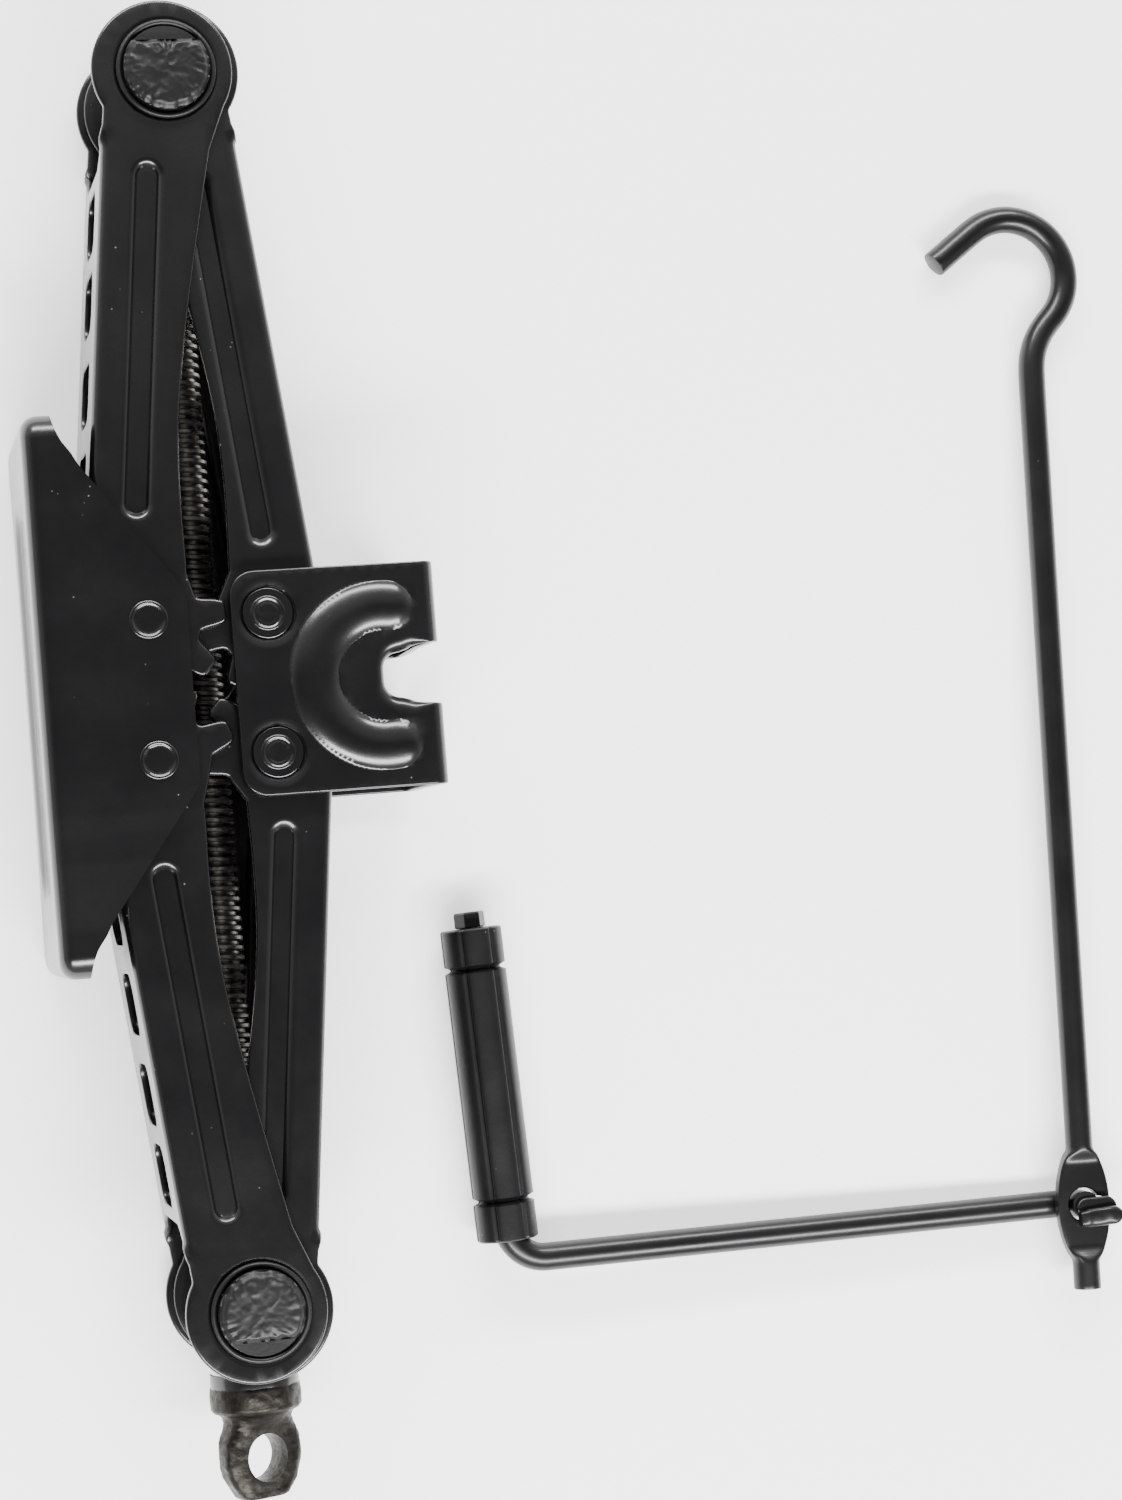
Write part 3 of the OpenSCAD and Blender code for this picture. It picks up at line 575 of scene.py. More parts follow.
# ------------------------------------------------------------------ pressed foot
def foot():
    """Drawn tray: recessed bearing face, rounded corners, tall flanges that slope down to the end lips."""
    t, bend = SHEET, 5.0
    mid_r = bend - t / 2
    half_l = FOOT_LEN / 2
    quarter = [[BASE_HALF, 0], [BASE_HALF, 30], [BASE_HALF + 0.15, 36], [BASE_HALF + 0.55, 42]]
    quarter += [[BASE_HALF + (36 - BASE_HALF) * (y - 39) / 36, y] for y in (50, 60, 70)]
    quarter += arc((28.5, half_l - 7.5), 7.5, 8, 90, 14).tolist()
    q = np.array(quarter)
    plan = np.r_[q, np.c_[-q[::-1, 0], q[::-1, 1]], -q[1:], np.c_[q[::-1, 0], -q[::-1, 1]][:-1]]
    plan = resample(plan, 1.3)
    if area(plan) < 0:
        plan = plan[::-1]
    n = len(plan)

    def height(y):
        y = np.abs(y)
        slope = FLANGE_H - 3 - (y - 33) * (FLANGE_H - 10 - LIP_H) / 38.0
        top = np.where(y < 29, FLANGE_H, np.minimum(FLANGE_H - (y - 29) * 0.75, slope))
        ease = LIP_H + 7 * np.exp(-(y - 71) / 5.0)
        return np.where(y > 71, ease, top)

    tall = height(plan[:, 1])
    for _ in range(3):
        tall = 0.25 * np.roll(tall, 1) + 0.5 * tall + 0.25 * np.roll(tall, -1)
    wall = np.maximum(tall - bend - 0.5, 0.5)
    rows = []
    for a in np.radians((0, 15, 30, 45, 60, 75, 90)):
        ring = grow(plan, -(bend - mid_r * math.sin(a)))
        rows.append(np.c_[np.full(n, t / 2 + mid_r * (1 - math.cos(a))), ring[:, 1], ring[:, 0]])
    side_ring = grow(plan, -t / 2)
    for k in np.linspace(0.05, 1, 16):
        rows.append(np.c_[bend + wall * k, side_ring[:, 1], side_ring[:, 0]])
    mid = np.concatenate(rows)
    faces = grid_faces(len(rows), n)
    # bearing face, with its long recessed panel
    loop = np.c_[rows[0][:, 1], rows[0][:, 2]]
    extra = []
    for k in np.linspace(-3, 3, 7):
        r = round_corners([[-59 - k, -19 - k], [59 + k, -19 - k], [59 + k, 19 + k], [-59 - k, 19 + k]], 9)
        extra += resample(r, 1.8).tolist()
    if area(loop) < 0:
        order = list(range(n))[::-1]
    else:
        order = list(range(n))
    flat, tris, rings = fill([loop[order]], 4.0, np.array(extra))
    qx, qy = np.abs(flat[:, 0]) - 50, np.abs(flat[:, 1]) - 10
    dist = np.hypot(np.maximum(qx, 0), np.maximum(qy, 0)) + np.minimum(np.maximum(qx, qy), 0) - 9
    sink = 1.4 * (1 - smoothstep(-2.5, 2.5, dist))
    ring_set = {v: order[i] for i, v in enumerate(rings[0])}
    at = len(mid)
    index, new = {}, []
    for i in range(len(flat)):
        if i in ring_set:
            index[i] = ring_set[i]
        else:
            index[i] = at + len(new)
            new.append([t / 2 + sink[i], flat[i, 0], flat[i, 1]])
    mid = np.r_[mid, np.array(new)]
    tri = [[index[v] for v in f] for f in tris]
    # all faces have to look the same way: compare a bottom triangle with -X
    def facing(f):
        p = mid[list(f[:3])]
        return np.cross(p[1] - p[0], p[2] - p[0])
    if facing(tri[len(tri) // 2])[0] > 0:
        tri = [f[::-1] for f in tri]
    k = next(i for i, f in enumerate(faces) if f[0] >= n * 10 and abs(mid[f[0]][1]) < 5 and mid[f[0]][2] > 0)
    if facing(faces[k])[2] < 0:
        faces = [f[::-1] for f in faces]
    last = list(range(n * (len(rows) - 1), n * len(rows)))
    p = mid[last]
    out_dir = np.cross(p[1] - p[0], mid[last[0]] - mid[last[0] - n])
    normal = facing(faces[-n])
    if np.dot(out_dir, normal) < 0:
        last = last[::-1]
    verts, quads = thicken(mid, faces + tri, [last], t, [rounded_rim(t, 0.5)])
    build("pressed_foot", verts, quads, ENAMEL, "base", ["base_plate"], 40)


foot()


# ------------------------------------------------------------------ pressed saddle
def saddle():
    """Folded saddle: C-shaped raised bead, dished pin seats, notch with its edges turned in."""
    t, bend = SHEET, 5.0
    mid_r = bend - t / 2
    h = SADDLE_HALF - t / 2
    top = SADDLE_PIVOT + SADDLE_H
    web_u = h - mid_r
    u_of = lambda x: web_u + mid_r * math.pi / 2 + (top - bend - x)
    low = SADDLE_PIVOT - SADDLE_SKIRT
    L = SADDLE_LEN / 2
    u_end = u_of(low)
    c = 7.5
    outer = [[L, 0], [L, u_end - c]] + arc((L - c, u_end - c), c, 0, 90, 10).tolist()
    outer += arc((c - L, u_end - c), c, 90, 180, 10).tolist() + [[-L, 0]]
    outer += [[-L, c - u_end]] + arc((c - L, c - u_end), c, 180, 270, 10).tolist()
    outer += arc((L - c, c - u_end), c, 270, 360, 10).tolist()
    outer = resample(outer, 1.5)
    inner_x = top - 17.6
    notch = [[9.8, 0], [9.3, u_of(top - bend) - 3], [9.0, u_of(top - 5)], [6.9, u_of(inner_x + 5)]]
    notch += arc((1.9, u_of(inner_x + 5)), 5, 0, 90, 8)[1:].tolist()
    notch += arc((-1.9, u_of(inner_x + 5)), 5, 90, 180, 8).tolist()
    notch += [[-9.0, u_of(top - 5)], [-9.3, u_of(top - bend) - 3], [-9.8, 0]]
    notch = np.array(notch)
    hole = np.r_[notch, np.c_[notch[::-1, 0], -notch[::-1, 1]][1:-1]]
    hole = resample(round_corners(hole, 2.5, 25), 1.3)
    roll = smoothstep(u_of(top - bend) - 2, u_of(top - bend) + 4, np.abs(hole[:, 1]))
    away = 0.5 + 3.0 * roll
    loops = [grow(outer, -0.5), grow(hole, away)]
    if area(loops[0]) < 0:
        loops[0] = loops[0][::-1]
    if area(loops[1]) > 0:
        loops[1], roll = loops[1][::-1], roll[::-1]
    centre_u = u_of(103.6)
    extra = []
    for sgn in (1, -1):
        for k in range(-1, 8):
            extra += [[y, sgn * (web_u + mid_r * math.pi / 2 * k / 6)] for y in np.arange(-L + 1, L, 1.6)]
        for r in (13.4, 14.2, 14.7, 15.3, 16.2, 17.4, 18.8, 20.2, 21.4, 22.6, 24, 25.4,
                  26.6, 27.4, 28, 28.6, 29.5):
            extra += [[p[0], sgn * p[1]] for p in arc((0, centre_u), r, -25, 205, int(r * 2.6))]
        for y in (-GEAR_R, GEAR_R):
            for r in (5, 7.6, 8.6, 9.4, 10.2, 11):
                extra += arc((y, sgn * u_of(SADDLE_PIVOT)), r, 0, 350, int(r * 5)).tolist()
    flat, faces, rings = fill(loops, 2.6, np.array(extra))
    y, u = flat[:, 0], flat[:, 1]
    au, sg = np.abs(u), np.sign(u)
    a = np.clip((au - web_u) / mid_r, 0, math.pi / 2)
    x = np.where(au < u_of(top - bend), top - t / 2 - mid_r * (1 - np.cos(a)),
                 top - bend - (au - u_of(top - bend)))
    z = np.where(au < web_u, au, web_u + mid_r * np.sin(a))
    cheek = au > u_of(top - bend)
    r = np.hypot(y, x - 103.6)
    ang = np.degrees(np.arctan2(np.abs(y), -(x - 103.6)))
    end = np.radians(98)
    ends = np.hypot(np.abs(y) - 21.2 * math.sin(end), -(x - 103.6) - 21.2 * math.cos(end))
    ridge = np.where(ang < 98, np.abs(r - 21.2), ends)
    rise = 2.4 * (1 - np.clip(ridge / 6.9, 0, 1) ** 2) ** 0.7
    pin = np.hypot(np.abs(y) - GEAR_R, x - SADDLE_PIVOT)
    dish = -1.9 * (1 - smoothstep(8.1, 9.6, pin))
    z = z + np.where(cheek, rise * smoothstep(8.6, 11.5, pin) + dish, 0)
    verts, quads = thicken(np.c_[x, y, z * sg], faces, rings, t,
                           [rounded_rim(t, 0.5), rolled_rim(t, 5.5)], [None, roll])
    build("pressed_saddle", verts, quads, ENAMEL, "saddle", ["saddle"], 40)


saddle()


# ------------------------------------------------------------------ pins
def pin(name, node_name, body, x, y, half, head):
    """A pivot pin across the jack, its ends peened into a ring with a shallow centre."""
    prof = [(4.5, 0), (4.5, half - 0.2)]
    for r, z in head:
        prof.append((r, half + z))
    prof = [(r, -z) for r, z in reversed(prof)] + prof[1:]
    verts, faces = lathe(prof, 64)
    for v in verts:
        if abs(v[2]) > half:
            w = noise.noise(Vector((v[0] * 0.35 + x, v[1] * 0.35 + y, v[2] * 0.05)))
            v[2] += math.copysign(0.16 * w, v[2])
    verts = verts + [x, y, 0]
    build(name, verts, faces, ENAMEL, body, [node_name], 50, clean=False)


# radius and height above the sheet, from the shank over the peened ring to the middle
BASE_HEAD = [(5.75, 0.0), (5.8, 0.35), (5.5, 0.6), (5.1, 0.62), (4.7, 0.35), (4.3, 0.12), (3.6, 0.08),
             (1.5, 0.1)]
SADDLE_HEAD = [(5.2, 0.0), (5.3, 0.7), (5.0, 0.95), (4.5, 0.9), (4.1, 0.55), (3.7, 0.42), (3.2, 0.62),
               (2.6, 0.66), (1.0, 0.6)]
for k, y in ((1, GEAR_R), (2, -GEAR_R)):
    pin(f"peened_base_pin_{k}", f"base_pivot_pin_{k}", "base", BASE_PIVOT, y, BASE_HALF, BASE_HEAD)
    pin(f"peened_saddle_pin_{k}", f"saddle_pivot_pin_{k}", "saddle", SADDLE_PIVOT, y,
        SADDLE_HALF - 2.0 + 0.3, SADDLE_HEAD)


# ------------------------------------------------------------------ trunnion bars
def hammered_face(rho, a, end, side):
    """Rings over one end of a trunnion, from the middle out: domed, dented, with folds at the rim."""
    out = []
    for q in np.linspace(0, 1, 30):
        x, y = rho * q * np.cos(a), rho * q * np.sin(a)
        dents = [noise.fractal(Vector((px * 0.15 + 9 * end, py * 0.15 + 31 * side, 2.0)), 1.0, 2.1, 3)
                 for px, py in zip(x, y)]
        folds = [abs(noise.noise(Vector((math.cos(t) * 5 + 5, math.sin(t) * 5 + 3 * side, q * 1.5))))
                 for t in a]
        z = 35.6 - 1.3 * smoothstep(0.8, 1.0, q) ** 2 - 0.45 * np.abs(dents)
        z = z - 1.1 * smoothstep(0.5, 1.0, q) * np.array(folds)
        out.append(np.c_[x, y, end * z])
    return out


def trunnion(side, name, node_name, body):
    """Bar milled flat between the arms and at its hammered ends, with a ring outside each ear."""
    n = 120
    a = np.linspace(0, 2 * math.pi, n, endpoint=False)
    facing = side * np.sin(a)
    round_bar = np.full(n, TRUNNION_R)
    milled = np.minimum(TRUNNION_R, TRUNNION_FLAT / np.maximum(facing, 1e-6))

    def belt(rho, z, swell=0.0):
        r = rho + swell
        return np.c_[r * np.cos(a), r * np.sin(a), np.full(n, z)]
    half = [belt(milled, SEAT_HALF - 0.05), belt(round_bar, SEAT_HALF), belt(round_bar, RING_TOP),
            belt(milled, RING_TOP + 0.05), belt(milled, 33.0, 0.25), belt(milled, 34.0, 0.2)]
    rows = hammered_face(milled, a, -1, side) + [r * [1, 1, -1] for r in half[::-1]]
    rows += half + hammered_face(milled, a, 1, side)[::-1]
    bar = loose(name, np.concatenate(rows), grid_faces(len(rows), n))
    verts, faces = lathe([(7.1, -16), (7.1, 16)], 64)
    cut(bar, loose("cross bore", np.c_[verts[:, 0], verts[:, 2], -verts[:, 1]], faces))
    # the rings, a hair clear of the bar
    bm = bmesh.new()
    bm.from_mesh(bar.data)
    section = [(TRUNNION_R + 0.1, 0.1), (14.8, 0), (RING_R, 0.4), (RING_R, 0.8), (14.85, 1.25), (14.35, 1.5),
               (13.9, 1.45), (13.45, 1.1), (13.2, 0.5)]
    for end in (-1, 1):
        ring, quads = lathe([(r, end * (RING_Z + z)) for r, z in section], 96)
        quads = quads[:-2] + [[k, (k + 1) % 96, len(ring) - 96 + (k + 1) % 96, len(ring) - 96 + k]
                              for k in range(96)]
        points = [bm.verts.new((v * MM).tolist()) for v in ring]
        for q in quads:
            bm.faces.new([points[k] for k in q])
    bm.to_mesh(bar.data)
    bm.free()
    bar.data.transform(Matrix.Translation((TRUNNION_X * MM, side * TRUNNION_Y * MM, 0)))
    finish_piece(bar, PEENED, body, [node_name], 50)


trunnion(1, "hammered_nut_trunnion", "trunnion_nut", "nut_trunnion")
trunnion(-1, "hammered_thrust_trunnion", "trunnion_thrust", "thrust_trunnion")


# ------------------------------------------------------------------ screw
def thread_tree():
    """Node group that winds a thread round a core. Inputs: turns, pitch, core radius and thread height."""
    g = bpy.data.node_groups.new("rolled_thread", "GeometryNodeTree")
    for name, kind, value in (("Turns", "NodeSocketFloat", 100.0), ("Pitch", "NodeSocketFloat", 0.003),
                              ("Core Radius", "NodeSocketFloat", 0.0052),
                              ("Thread Radius", "NodeSocketFloat", 0.0069),
                              ("Material", "NodeSocketMaterial", None)):
        s = g.interface.new_socket(name, in_out="INPUT", socket_type=kind)
        if value is not None:
            s.default_value = value
    g.interface.new_socket("Geometry", in_out="OUTPUT", socket_type="NodeSocketGeometry")
    gin, gout = g.nodes.new("NodeGroupInput"), g.nodes.new("NodeGroupOutput")
    i = gin.outputs

    def maths(op, a, b):
        return node(g, "ShaderNodeMath", {0: a, 1: b}, operation=op).outputs[0]
    length = maths("MULTIPLY", i["Turns"], i["Pitch"])
    depth = maths("SUBTRACT", i["Thread Radius"], i["Core Radius"])
    spiral = node(g, "GeometryNodeCurveSpiral",
                  {"Resolution": 36, "Rotations": i["Turns"], "Height": length,
                   "Start Radius": i["Core Radius"], "End Radius": i["Core Radius"]})
    # the profile: a trapezoid as wide as the pitch at its foot, pointing away from the axis
    corner = []
    for across, inward in ((-0.46, 0.3), (-0.16, -1.0), (0.16, -1.0), (0.46, 0.3)):
        v = node(g, "ShaderNodeCombineXYZ", {"X": maths("MULTIPLY", depth, inward),
                                             "Y": maths("MULTIPLY", i["Pitch"], across)})
        corner.append(v.outputs[0])
    quad = node(g, "GeometryNodeCurvePrimitiveQuadrilateral",
                {f"Point {k + 1}": c for k, c in enumerate(corner)}, mode="POINTS")
    tilt = node(g, "GeometryNodeSetCurveNormal", {"Curve": spiral.outputs[0]})
    if "Mode" in tilt.inputs:
        tilt.inputs["Mode"].default_value = "Z Up"
    else:
        tilt.mode = "Z_UP"
    ridge = node(g, "GeometryNodeCurveToMesh", {"Curve": tilt.outputs[0], "Profile Curve": quad.outputs[0],
                                                "Fill Caps": True})
    paint = node(g, "GeometryNodeSetMaterial", {"Geometry": ridge.outputs[0], "Material": i["Material"]})
    g.links.new(paint.outputs[0], gout.inputs[0])
    return g


def screw():
    """Threaded rod with a forged collar and flattened eye."""
    ob = bpy.data.objects.new("rolled_screw_thread", bpy.data.meshes.new("rolled_screw_thread"))
    bpy.context.scene.collection.objects.link(ob)
    mod = ob.modifiers.new("thread", "NODES")
    mod.node_group = thread_tree()
    names = {s.name: s.identifier for s in mod.node_group.interface.items_tree if s.in_out == "INPUT"}
    y0, y1 = -TRUNNION_Y - 6, TRUNNION_Y + 19 - 1.5
    mod[names["Turns"]] = (y1 - y0) / THREAD_PITCH
    mod[names["Material"]] = THREAD
    bpy.context.view_layer.update()
    baked = bpy.data.meshes.new_from_object(ob.evaluated_get(bpy.context.evaluated_depsgraph_get()))
    ob.modifiers.clear()
    ob.data = baked
    baked.transform(Matrix.Translation((TRUNNION_X * MM, y0 * MM, 0)) @ Matrix.Rotation(-math.pi / 2, 4, "X"))
    finish_piece(ob, THREAD, "screw", [], 30, clean=False)
    # core, chamfered far end, and the plain shank under the collar
    end = TRUNNION_Y + 19
    prof = [(5.4, -TRUNNION_Y - 4), (5.4, end - 1.2), (5.0, end), (2, end)]
    prof = [(7.0, -TRUNNION_Y - 30), (7.0, -TRUNNION_Y - 4.5)] + prof
    verts, faces = lathe(prof, 64)
    verts = np.c_[verts[:, 0] + TRUNNION_X, verts[:, 2], -verts[:, 1]]
    build("screw_core", verts, faces, THREAD, "screw", [], 40, clean=False)
    # forging: place along Y, half width, half height and squareness, from the round collar to the flat eye
    turn = math.radians(22)
    st = np.array([
        (-24.4, 12.0, 12.0, 2), (-24.6, 13.4, 13.4, 2), (-25.4, 14.0, 14.0, 2), (-28.0, 14.2, 14.2, 2),
        (-31.8, 14.1, 14.0, 2), (-32.8, 13.3, 13.1, 2), (-33.3, 12.2, 11.6, 2), (-34.4, 11.2, 9.4, 2.2),
        (-36.0, 10.8, 7.6, 2.5), (-37.8, 11.3, 6.2, 3), (-39.5, 12.2, 5.5, 3.6), (-41.5, 12.9, 5.25, 4),
        (-44.0, 13.25, 5.25, 4), (-46.5, 13.3, 5.25, 4), (-49.0, 13.2, 5.25, 4), (-52, 12.3, 5.25, 4),
        (-54.5, 11.2, 5.2, 4), (-57.0, 9.6, 5.1, 4), (-58.6, 8.4, 5.0, 4), (-59.3, 7.6, 4.6, 3.6),
        (-59.6, 6.6, 3.9, 3.2)])
    fine = np.linspace(0, len(st) - 1, 90)
    st = np.array([np.interp(fine, np.arange(len(st)), st[:, k]) for k in range(4)]).T
    axis = np.c_[np.zeros(len(st)), st[:, 0], np.zeros(len(st))]
    verts, faces = sweep(axis, lambda i: tuple(st[i, 1:]), segments=72)
    for v in verts:
        w = noise.fractal(Vector(v * 0.28), 0.8, 2.0, 4)
        radial = np.array([v[0], 0, v[2]])
        v += radial / (np.linalg.norm(radial) + 1e-6) * 0.3 * (w - 0.6)
    rot = np.array([[math.cos(turn), 0, math.sin(turn)], [0, 1, 0], [-math.sin(turn), 0, math.cos(turn)]])
    eye = loose("forged_eye", verts, faces)
    pv, pf = lathe([(7.35, -9), (7.35, -4.6), (7.0, -3.4), (6.9, 0), (7.0, 3.4), (7.35, 4.6), (7.35, 9)], 64)
    pv[:, 0] *= 0.93
    cut(eye, loose("eye_cutter", pv + [0, -47.2, 0], pf))
    m = Matrix([[rot[0][0], 0, rot[0][2], TRUNNION_X * MM], [0, 1, 0, -TRUNNION_Y * MM],
                [rot[2][0], 0, rot[2][2], 0], [0, 0, 0, 1]])
    eye.data.transform(m)
    finish_piece(eye, FORGED, "screw", ["screw"], 45)


screw()


# ------------------------------------------------------------------ handle
PADDLE_Z = FLOOR_Z + 12.1
PADDLE_T = 4.2
HOOK_REACH = 312.4
CRANK_LEN = 194.5
GRIP_START, GRIP_LEN, GRIP_R = 7.5, 100.0, 9.9


def hook_rod():
    """Bent bar: stub, flattened paddle with a keyhole, long shank, joggle, hook and cut tip."""
    hook_r, hook_off, set_r = 20.0, -6.1, 25.0
    joggle_s = HOOK_REACH - math.sqrt((hook_r + set_r) ** 2 - (set_r - hook_off) ** 2)
    joggle = math.degrees(math.atan2(HOOK_REACH - joggle_s, set_r - hook_off))
    shank = np.r_[-28.0, -27.9, -27.6, np.arange(-26.5, 40, 0.9), np.arange(41, joggle_s - 2, 5)]
    p = [[0, y] for y in shank]
    p += arc((set_r, joggle_s), set_r, 180, 180 - joggle, 16).tolist()
    p += arc((hook_off, HOOK_REACH), hook_r, -joggle, 128.7, 48)[1:].tolist()
    a = math.radians(128.7)
    tip0, d = np.array(p[-1]), np.array([-math.sin(a), math.cos(a)])
    p += [tip0 + d * s for s in (3, 7, 11, 15, 17.2, 17.8, 18.0)]
    p = np.array(p)
    # ease the corner where the joggle and the hook meet
    for _ in range(6):
        p[90:-4] = 0.25 * p[89:-5] + 0.5 * p[90:-4] + 0.25 * p[91:-3]
    path = np.c_[p, np.zeros(len(p))]

    def section(i):
        y = p[i, 1]
        end = min(i, len(p) - 1 - i)
        r = BAR_R * (0.86, 0.97, 1.0)[min(end, 2)]
        if i > 100 or abs(y) > 24:
            return r, r, 2.0
        q = 1 - float(smoothstep(13.5, 19.0, abs(y)))
        wide = 9.1 * math.sqrt(max(0.0, 1 - (y / 20.5) ** 2)) if abs(y) < 20.4 else 0
        w = max(r, wide) if q > 0 else r
        return w, BAR_R + (PADDLE_T / 2 - BAR_R) * q, 2 + 6 * q
    verts, faces = sweep(path, section, segments=64)
    slope = math.asin((PADDLE_Z - FLOOR_Z - BAR_R) / (HOOK_REACH + hook_r))
    place = (Matrix.Translation((JOINT[0] * MM, JOINT[1] * MM, PADDLE_Z * MM))
             @ Matrix.Rotation(math.radians(-2), 4, "Z") @ Matrix.Rotation(-slope, 4, "X"))
    ob = loose("bent_hook_rod", verts, faces)
    kv, kf = lathe([(5.9, -9), (5.9, -2.1), (5.5, -1.6), (5.5, 1.6), (5.9, 2.1), (5.9, 9)], 64)
    cut(ob, loose("key hole", kv, kf))
    c, sn = math.cos(math.radians(-8)), math.sin(math.radians(-8))
    corners = ((0, -3.2), (20, -3.2), (20, 3.2), (0, 3.2))
    box = [[x * c - y * sn, x * sn + y * c, z] for z in (-10, 10) for x, y in corners]
    cut(ob, loose("key slot", box, grid_faces(2, 4) + [[0, 1, 2, 3], [4, 5, 6, 7]]))
    ob.data.transform(place)
    finish_piece(ob, BAR, "hook_rod", ["hook_rod"], 35)


hook_rod()

GRIP_CORNER = np.array([JOINT[0] - CRANK_LEN, JOINT[1] + 0.9, FLOOR_Z + GRIP_R])
GRIP_TURN = math.radians(2.45)


def on_grip(v):
    """Local points, with +Y along the grip from the crank's corner, in the row frame."""
    v = np.asarray(v, float)
    c, s = math.cos(GRIP_TURN), math.sin(GRIP_TURN)
    return np.c_[v[:, 0] * c - v[:, 1] * s, v[:, 0] * s + v[:, 1] * c, v[:, 2]] + GRIP_CORNER


def crank_arm():
    """Bent bar: upset end that passes the paddle, flattened lug, arm, corner, spindle and hexagon."""
    bend_r, z0 = 12.5, FLOOR_Z + BAR_R
    lug_z = PADDLE_Z + PADDLE_T / 2 + 0.7
    corner = on_grip(np.c_[arc((bend_r, bend_r), bend_r, 270, 180, 14), np.zeros(15)])
    spindle = on_grip([[0, y, 0] for y in np.linspace(bend_r + 4, GRIP_START + GRIP_LEN + 0.2, 12)])
    up = np.array([[JOINT[0], JOINT[1], z] for z in (lug_z + 0.6, lug_z - 2, lug_z - 4.5)])
    knee_r = 4.6
    knee = np.array([[JOINT[0] - knee_r * (1 - math.cos(a)), JOINT[1], z0 + knee_r * (1 - math.sin(a))]
                     for a in np.linspace(0.15, math.pi / 2, 9)])
    start = knee[-1]
    straight = np.array([start + (corner[0] - start) * k for k in np.linspace(0.04, 0.96, 24)])
    path = np.r_[up, knee, straight, corner, spindle]
    tangent = np.gradient(path, axis=0)
    tangent /= np.linalg.norm(tangent, axis=1)[:, None]
    side = np.array([0, 1.0, 0])
    a = np.linspace(0, 2 * math.pi, 48, endpoint=False)
    verts = []
    for p, t in zip(path, tangent):
        side = side - t * (side @ t)
        side /= np.linalg.norm(side)
        other = np.cross(t, side)
        verts.append(p + np.outer(np.cos(a) * BAR_R, side) + np.outer(np.sin(a) * BAR_R, other))
    verts = np.concatenate(verts)
    faces = grid_faces(len(path), 48) + [list(range(48)), list(range(len(verts) - 48, len(verts)))]
    build("bent_crank_bar", verts, faces, BAR, "crank", ["crank_arm"], 40, clean=False)
    # lug: the bar's end, hammered flat and turned over the paddle
    pts = [[x, 0, 0] for x in np.linspace(-3.2, 11.5, 40)]

    def lug_section(i):
        q = i / 39
        rounded = math.sqrt(max(0.02, 1 - max(0, (q - 0.78) / 0.225) ** 2))
        w = 3.1 * rounded * (1 - 0.25 * max(0, 0.2 - q) / 0.2)
        return w, 2.45 - 0.5 * smoothstep(0.85, 1.0, q) - 0.7 * smoothstep(0.18, 0.0, q), 3.2
    verts, faces = sweep(pts, lug_section, segments=40)
    for v in verts:
        v[2] += 0.35 * noise.noise(Vector(v * 0.3)) - 0.25 * math.exp(-((v[0] - 1) / 2.5) ** 2)
    c, s = math.cos(math.radians(2)), math.sin(math.radians(2))
    verts = np.c_[verts[:, 0] * c - verts[:, 1] * s, verts[:, 0] * s + verts[:, 1] * c, verts[:, 2] + 2.5]
    build("flattened_crank_lug", verts + [JOINT[0], JOINT[1] - 4.2, lug_z], faces, BAR, "crank", [],
          45, clean=False)
    # the lug's root, spread over the key slot
    def root_section(i):
        q = abs(i - 15) / 15
        return 3.3 * math.sqrt(max(0.03, 1 - max(0, (q - 0.5) / 0.52) ** 2)), 1.0, 3.0
    verts, faces = sweep([[x, 0, 0] for x in np.linspace(-3.6, 10.0, 31)], root_section, segments=40)
    build("crank_lug_root", verts + [JOINT[0], JOINT[1] - 0.9, lug_z + 1.1], faces, BAR, "crank", [],
          45, clean=False)
    # hexagon with chamfered corners
    rows = []
    for y, k in ((107.8, 0.9), (108.1, 1.0), (112.3, 1.0), (112.8, 0.9)):
        for i in range(6):
            t = math.radians(60 * i)
            rows.append([5.0 * k * math.cos(t), y, 5.0 * k * math.sin(t)])
    verts = on_grip(rows)
    faces = grid_faces(4, 6) + [[0, 1, 2, 3, 4, 5], [18, 19, 20, 21, 22, 23]]
    build("crank_hexagon", verts, faces, BAR, "crank", [], 20)


crank_arm()


def grip():
    """Moulded grip: six flat lobes between grooves, cut by a necked ring near each end."""
    n = 216
    ys = [0.0, 0.15, 0.5, 1.0]
    for y0, y1 in ((1.0, 11.6), (14.0, 86.0), (88.4, 99.0)):
        ys += list(np.linspace(y0, y1, 8))
    for c in (12.8, 87.2):
        ys += list(c + np.array([-1.0, -0.8, -0.55, -0.3, 0, 0.3, 0.55, 0.8, 1.0]))
    ys += [99.5, 99.85, 100.0]
    ys = np.unique(np.round(ys, 3))
    a = np.linspace(0, 2 * math.pi, n, endpoint=False)
    phase = (np.degrees(a) % 60) / 60
    lobes = GRIP_R - 0.5 * np.exp(-(np.minimum(phase, 1 - phase) / 0.05) ** 2) - 0.33 * (2 * phase - 1) ** 4
    rows = []
    for y in ys:
        neck = max(float(bump(y, 12.8, 1.2)), float(bump(y, 87.2, 1.2)))
        r = lobes - 1.9 * neck ** 0.6
        e = min(y, GRIP_LEN - y)
        r = r - 0.6 * (1 - min(1.0, e / 0.6)) ** 2
        rows.append(np.c_[r * np.cos(a), np.full(n, GRIP_START + y), r * np.sin(a)])
    # the bore's rims
    for y, r in ((GRIP_LEN, 5.2), (GRIP_LEN - 0.4, 4.7), (GRIP_LEN - 6, 4.65),
                 (6, 4.65), (0.4, 4.7), (0, 5.2)):
        rows.append(np.c_[r * np.cos(a), np.full(n, GRIP_START + y), r * np.sin(a)])
    rows.append(rows[0])
    verts = on_grip(np.concatenate(rows))
    build("moulded_grip", verts, grid_faces(len(rows), n), PLASTIC, "grip", ["grip"], 35)


grip()


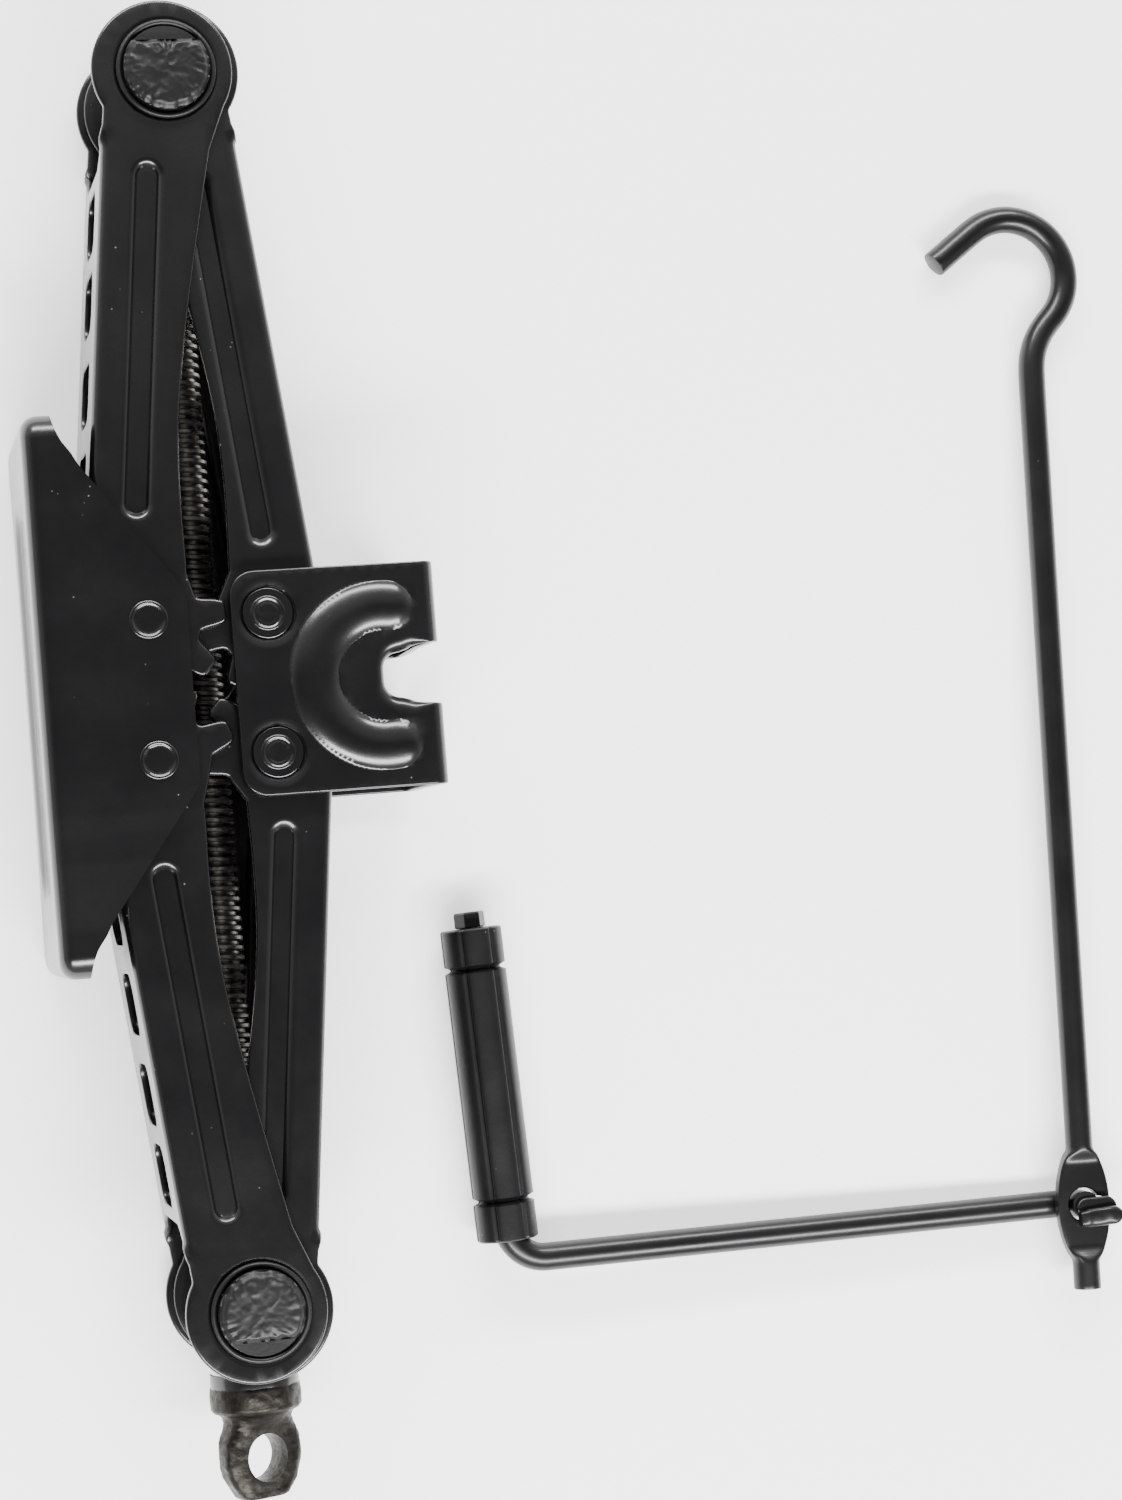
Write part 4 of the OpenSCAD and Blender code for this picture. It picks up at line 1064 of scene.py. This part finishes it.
# ------------------------------------------------------------------ CAD pieces shown as they are
for name, mat, edge in (("bearing_seat_race", BEARING, 0.3), ("bearing_collar_race", BEARING, 0.3),
                        ("bearing_balls", BEARING, 0), ("bearing_cage", BRASS, 0.1),
                        ("thrust_washer", ENAMEL, 0.4), ("screw_end_pin", THREAD, 0.2),
                        ("saddle_pin_washers", ENAMEL, 0.2)):
    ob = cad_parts[name]
    ob.data.materials.clear()
    ob.data.materials.append(mat)
    if edge:
        weld = ob.modifiers.new("weld", "WELD")
        weld.merge_threshold = 1e-6
        mod = ob.modifiers.new("edges", "BEVEL")
        mod.width, mod.segments, mod.limit_method = edge * MM, 2, "ANGLE"
        mod.angle_limit = math.radians(40)


# ------------------------------------------------------------------ floor, light and camera
def stage():
    bpy.ops.mesh.primitive_plane_add(size=12, location=(0, 0, FLOOR_Z * MM - 0.0002))
    floor = bpy.context.object
    floor.name = "floor"
    mat = bpy.data.materials.new("pale back-lit studio floor")
    mat.use_nodes = True
    t = mat.node_tree
    at = node(t, "ShaderNodeTexCoord").outputs["Object"]
    soft = node(t, "ShaderNodeTexNoise", {"Vector": at, "Scale": 3.0})
    tint = node(t, "ShaderNodeMix",
                {"Factor": soft.outputs["Fac"], "A": linear("#f4f4f4"), "B": linear("#fbfbfb")},
                data_type="RGBA")
    shader = t.nodes["Principled BSDF"].inputs
    t.links.new(tint.outputs["Result"], shader["Base Color"])
    shader["Roughness"].default_value = 0.8
    shader["Emission Color"].default_value = linear("#ffffff")
    shader["Emission Strength"].default_value = 0.7
    floor.data.materials.append(mat)

    world = bpy.data.worlds.new("soft studio")
    bpy.context.scene.world = world
    world.use_nodes = True
    t = world.node_tree
    at = node(t, "ShaderNodeTexCoord").outputs["Generated"]
    axes = node(t, "ShaderNodeSeparateXYZ", {"Vector": at}).outputs
    # dim overhead, brighter towards the horizon
    ramp = node(t, "ShaderNodeMapRange", {"Value": axes["Z"], "From Min": 0.25, "From Max": 0.85,
                                          "To Min": 0.8, "To Max": 0.13}, interpolation_type="SMOOTHSTEP")
    back = t.nodes["Background"]
    back.inputs["Color"].default_value = (1, 1, 1, 1)
    # the room is a little lighter beyond the jack's far end
    far_side = node(t, "ShaderNodeMapRange", {"Value": axes["Y"], "From Min": 0.04, "From Max": 0.34,
                                              "To Min": 0.0, "To Max": 0.5}, interpolation_type="SMOOTHSTEP")
    both = node(t, "ShaderNodeMath", {0: ramp.outputs[0], 1: far_side.outputs[0]}, operation="ADD")
    t.links.new(both.outputs[0], back.inputs["Strength"])

    def lamp(name, place, aim, size, power):
        light = bpy.data.lights.new(name, "AREA")
        light.shape, light.size, light.size_y = "RECTANGLE", size[0], size[1]
        light.energy = power
        ob = bpy.data.objects.new(name, light)
        bpy.context.scene.collection.objects.link(ob)
        ob.location = place
        ob.rotation_euler = (Vector(aim) - Vector(place)).to_track_quat("-Z", "Y").to_euler()
    lamp("near softbox", (0.15, -1.0, 1.1), (0.1, 0, 0), (1.8, 0.32), 78)
    lamp("far softbox", (0.15, 1.3, 0.9), (0.1, 0, 0), (1.8, 0.32), 56)

    cam = bpy.data.cameras.new("camera")
    cam.sensor_fit, cam.sensor_height, cam.sensor_width = "VERTICAL", 36.0, 36.0
    cam.lens = 78.5
    ob = bpy.data.objects.new("camera", cam)
    bpy.context.scene.collection.objects.link(ob)
    right, down, ahead = CAMERA_ROWS
    m = Matrix([[right[k], -down[k], -ahead[k], CAMERA_AT[k] * MM] for k in range(3)] + [[0, 0, 0, 1]])
    ob.matrix_world = m
    cam.clip_start, cam.clip_end = 0.05, 30
    bpy.context.scene.camera = ob


CAMERA_AT = (-67.5, -62.9, 1006.3)
# the camera's right, down and ahead
CAMERA_ROWS = ((0.97212, -0.08034, 0.220292), (-0.070245, -0.996105, -0.053295),
               (0.223716, 0.036335, -0.973977))
stage()
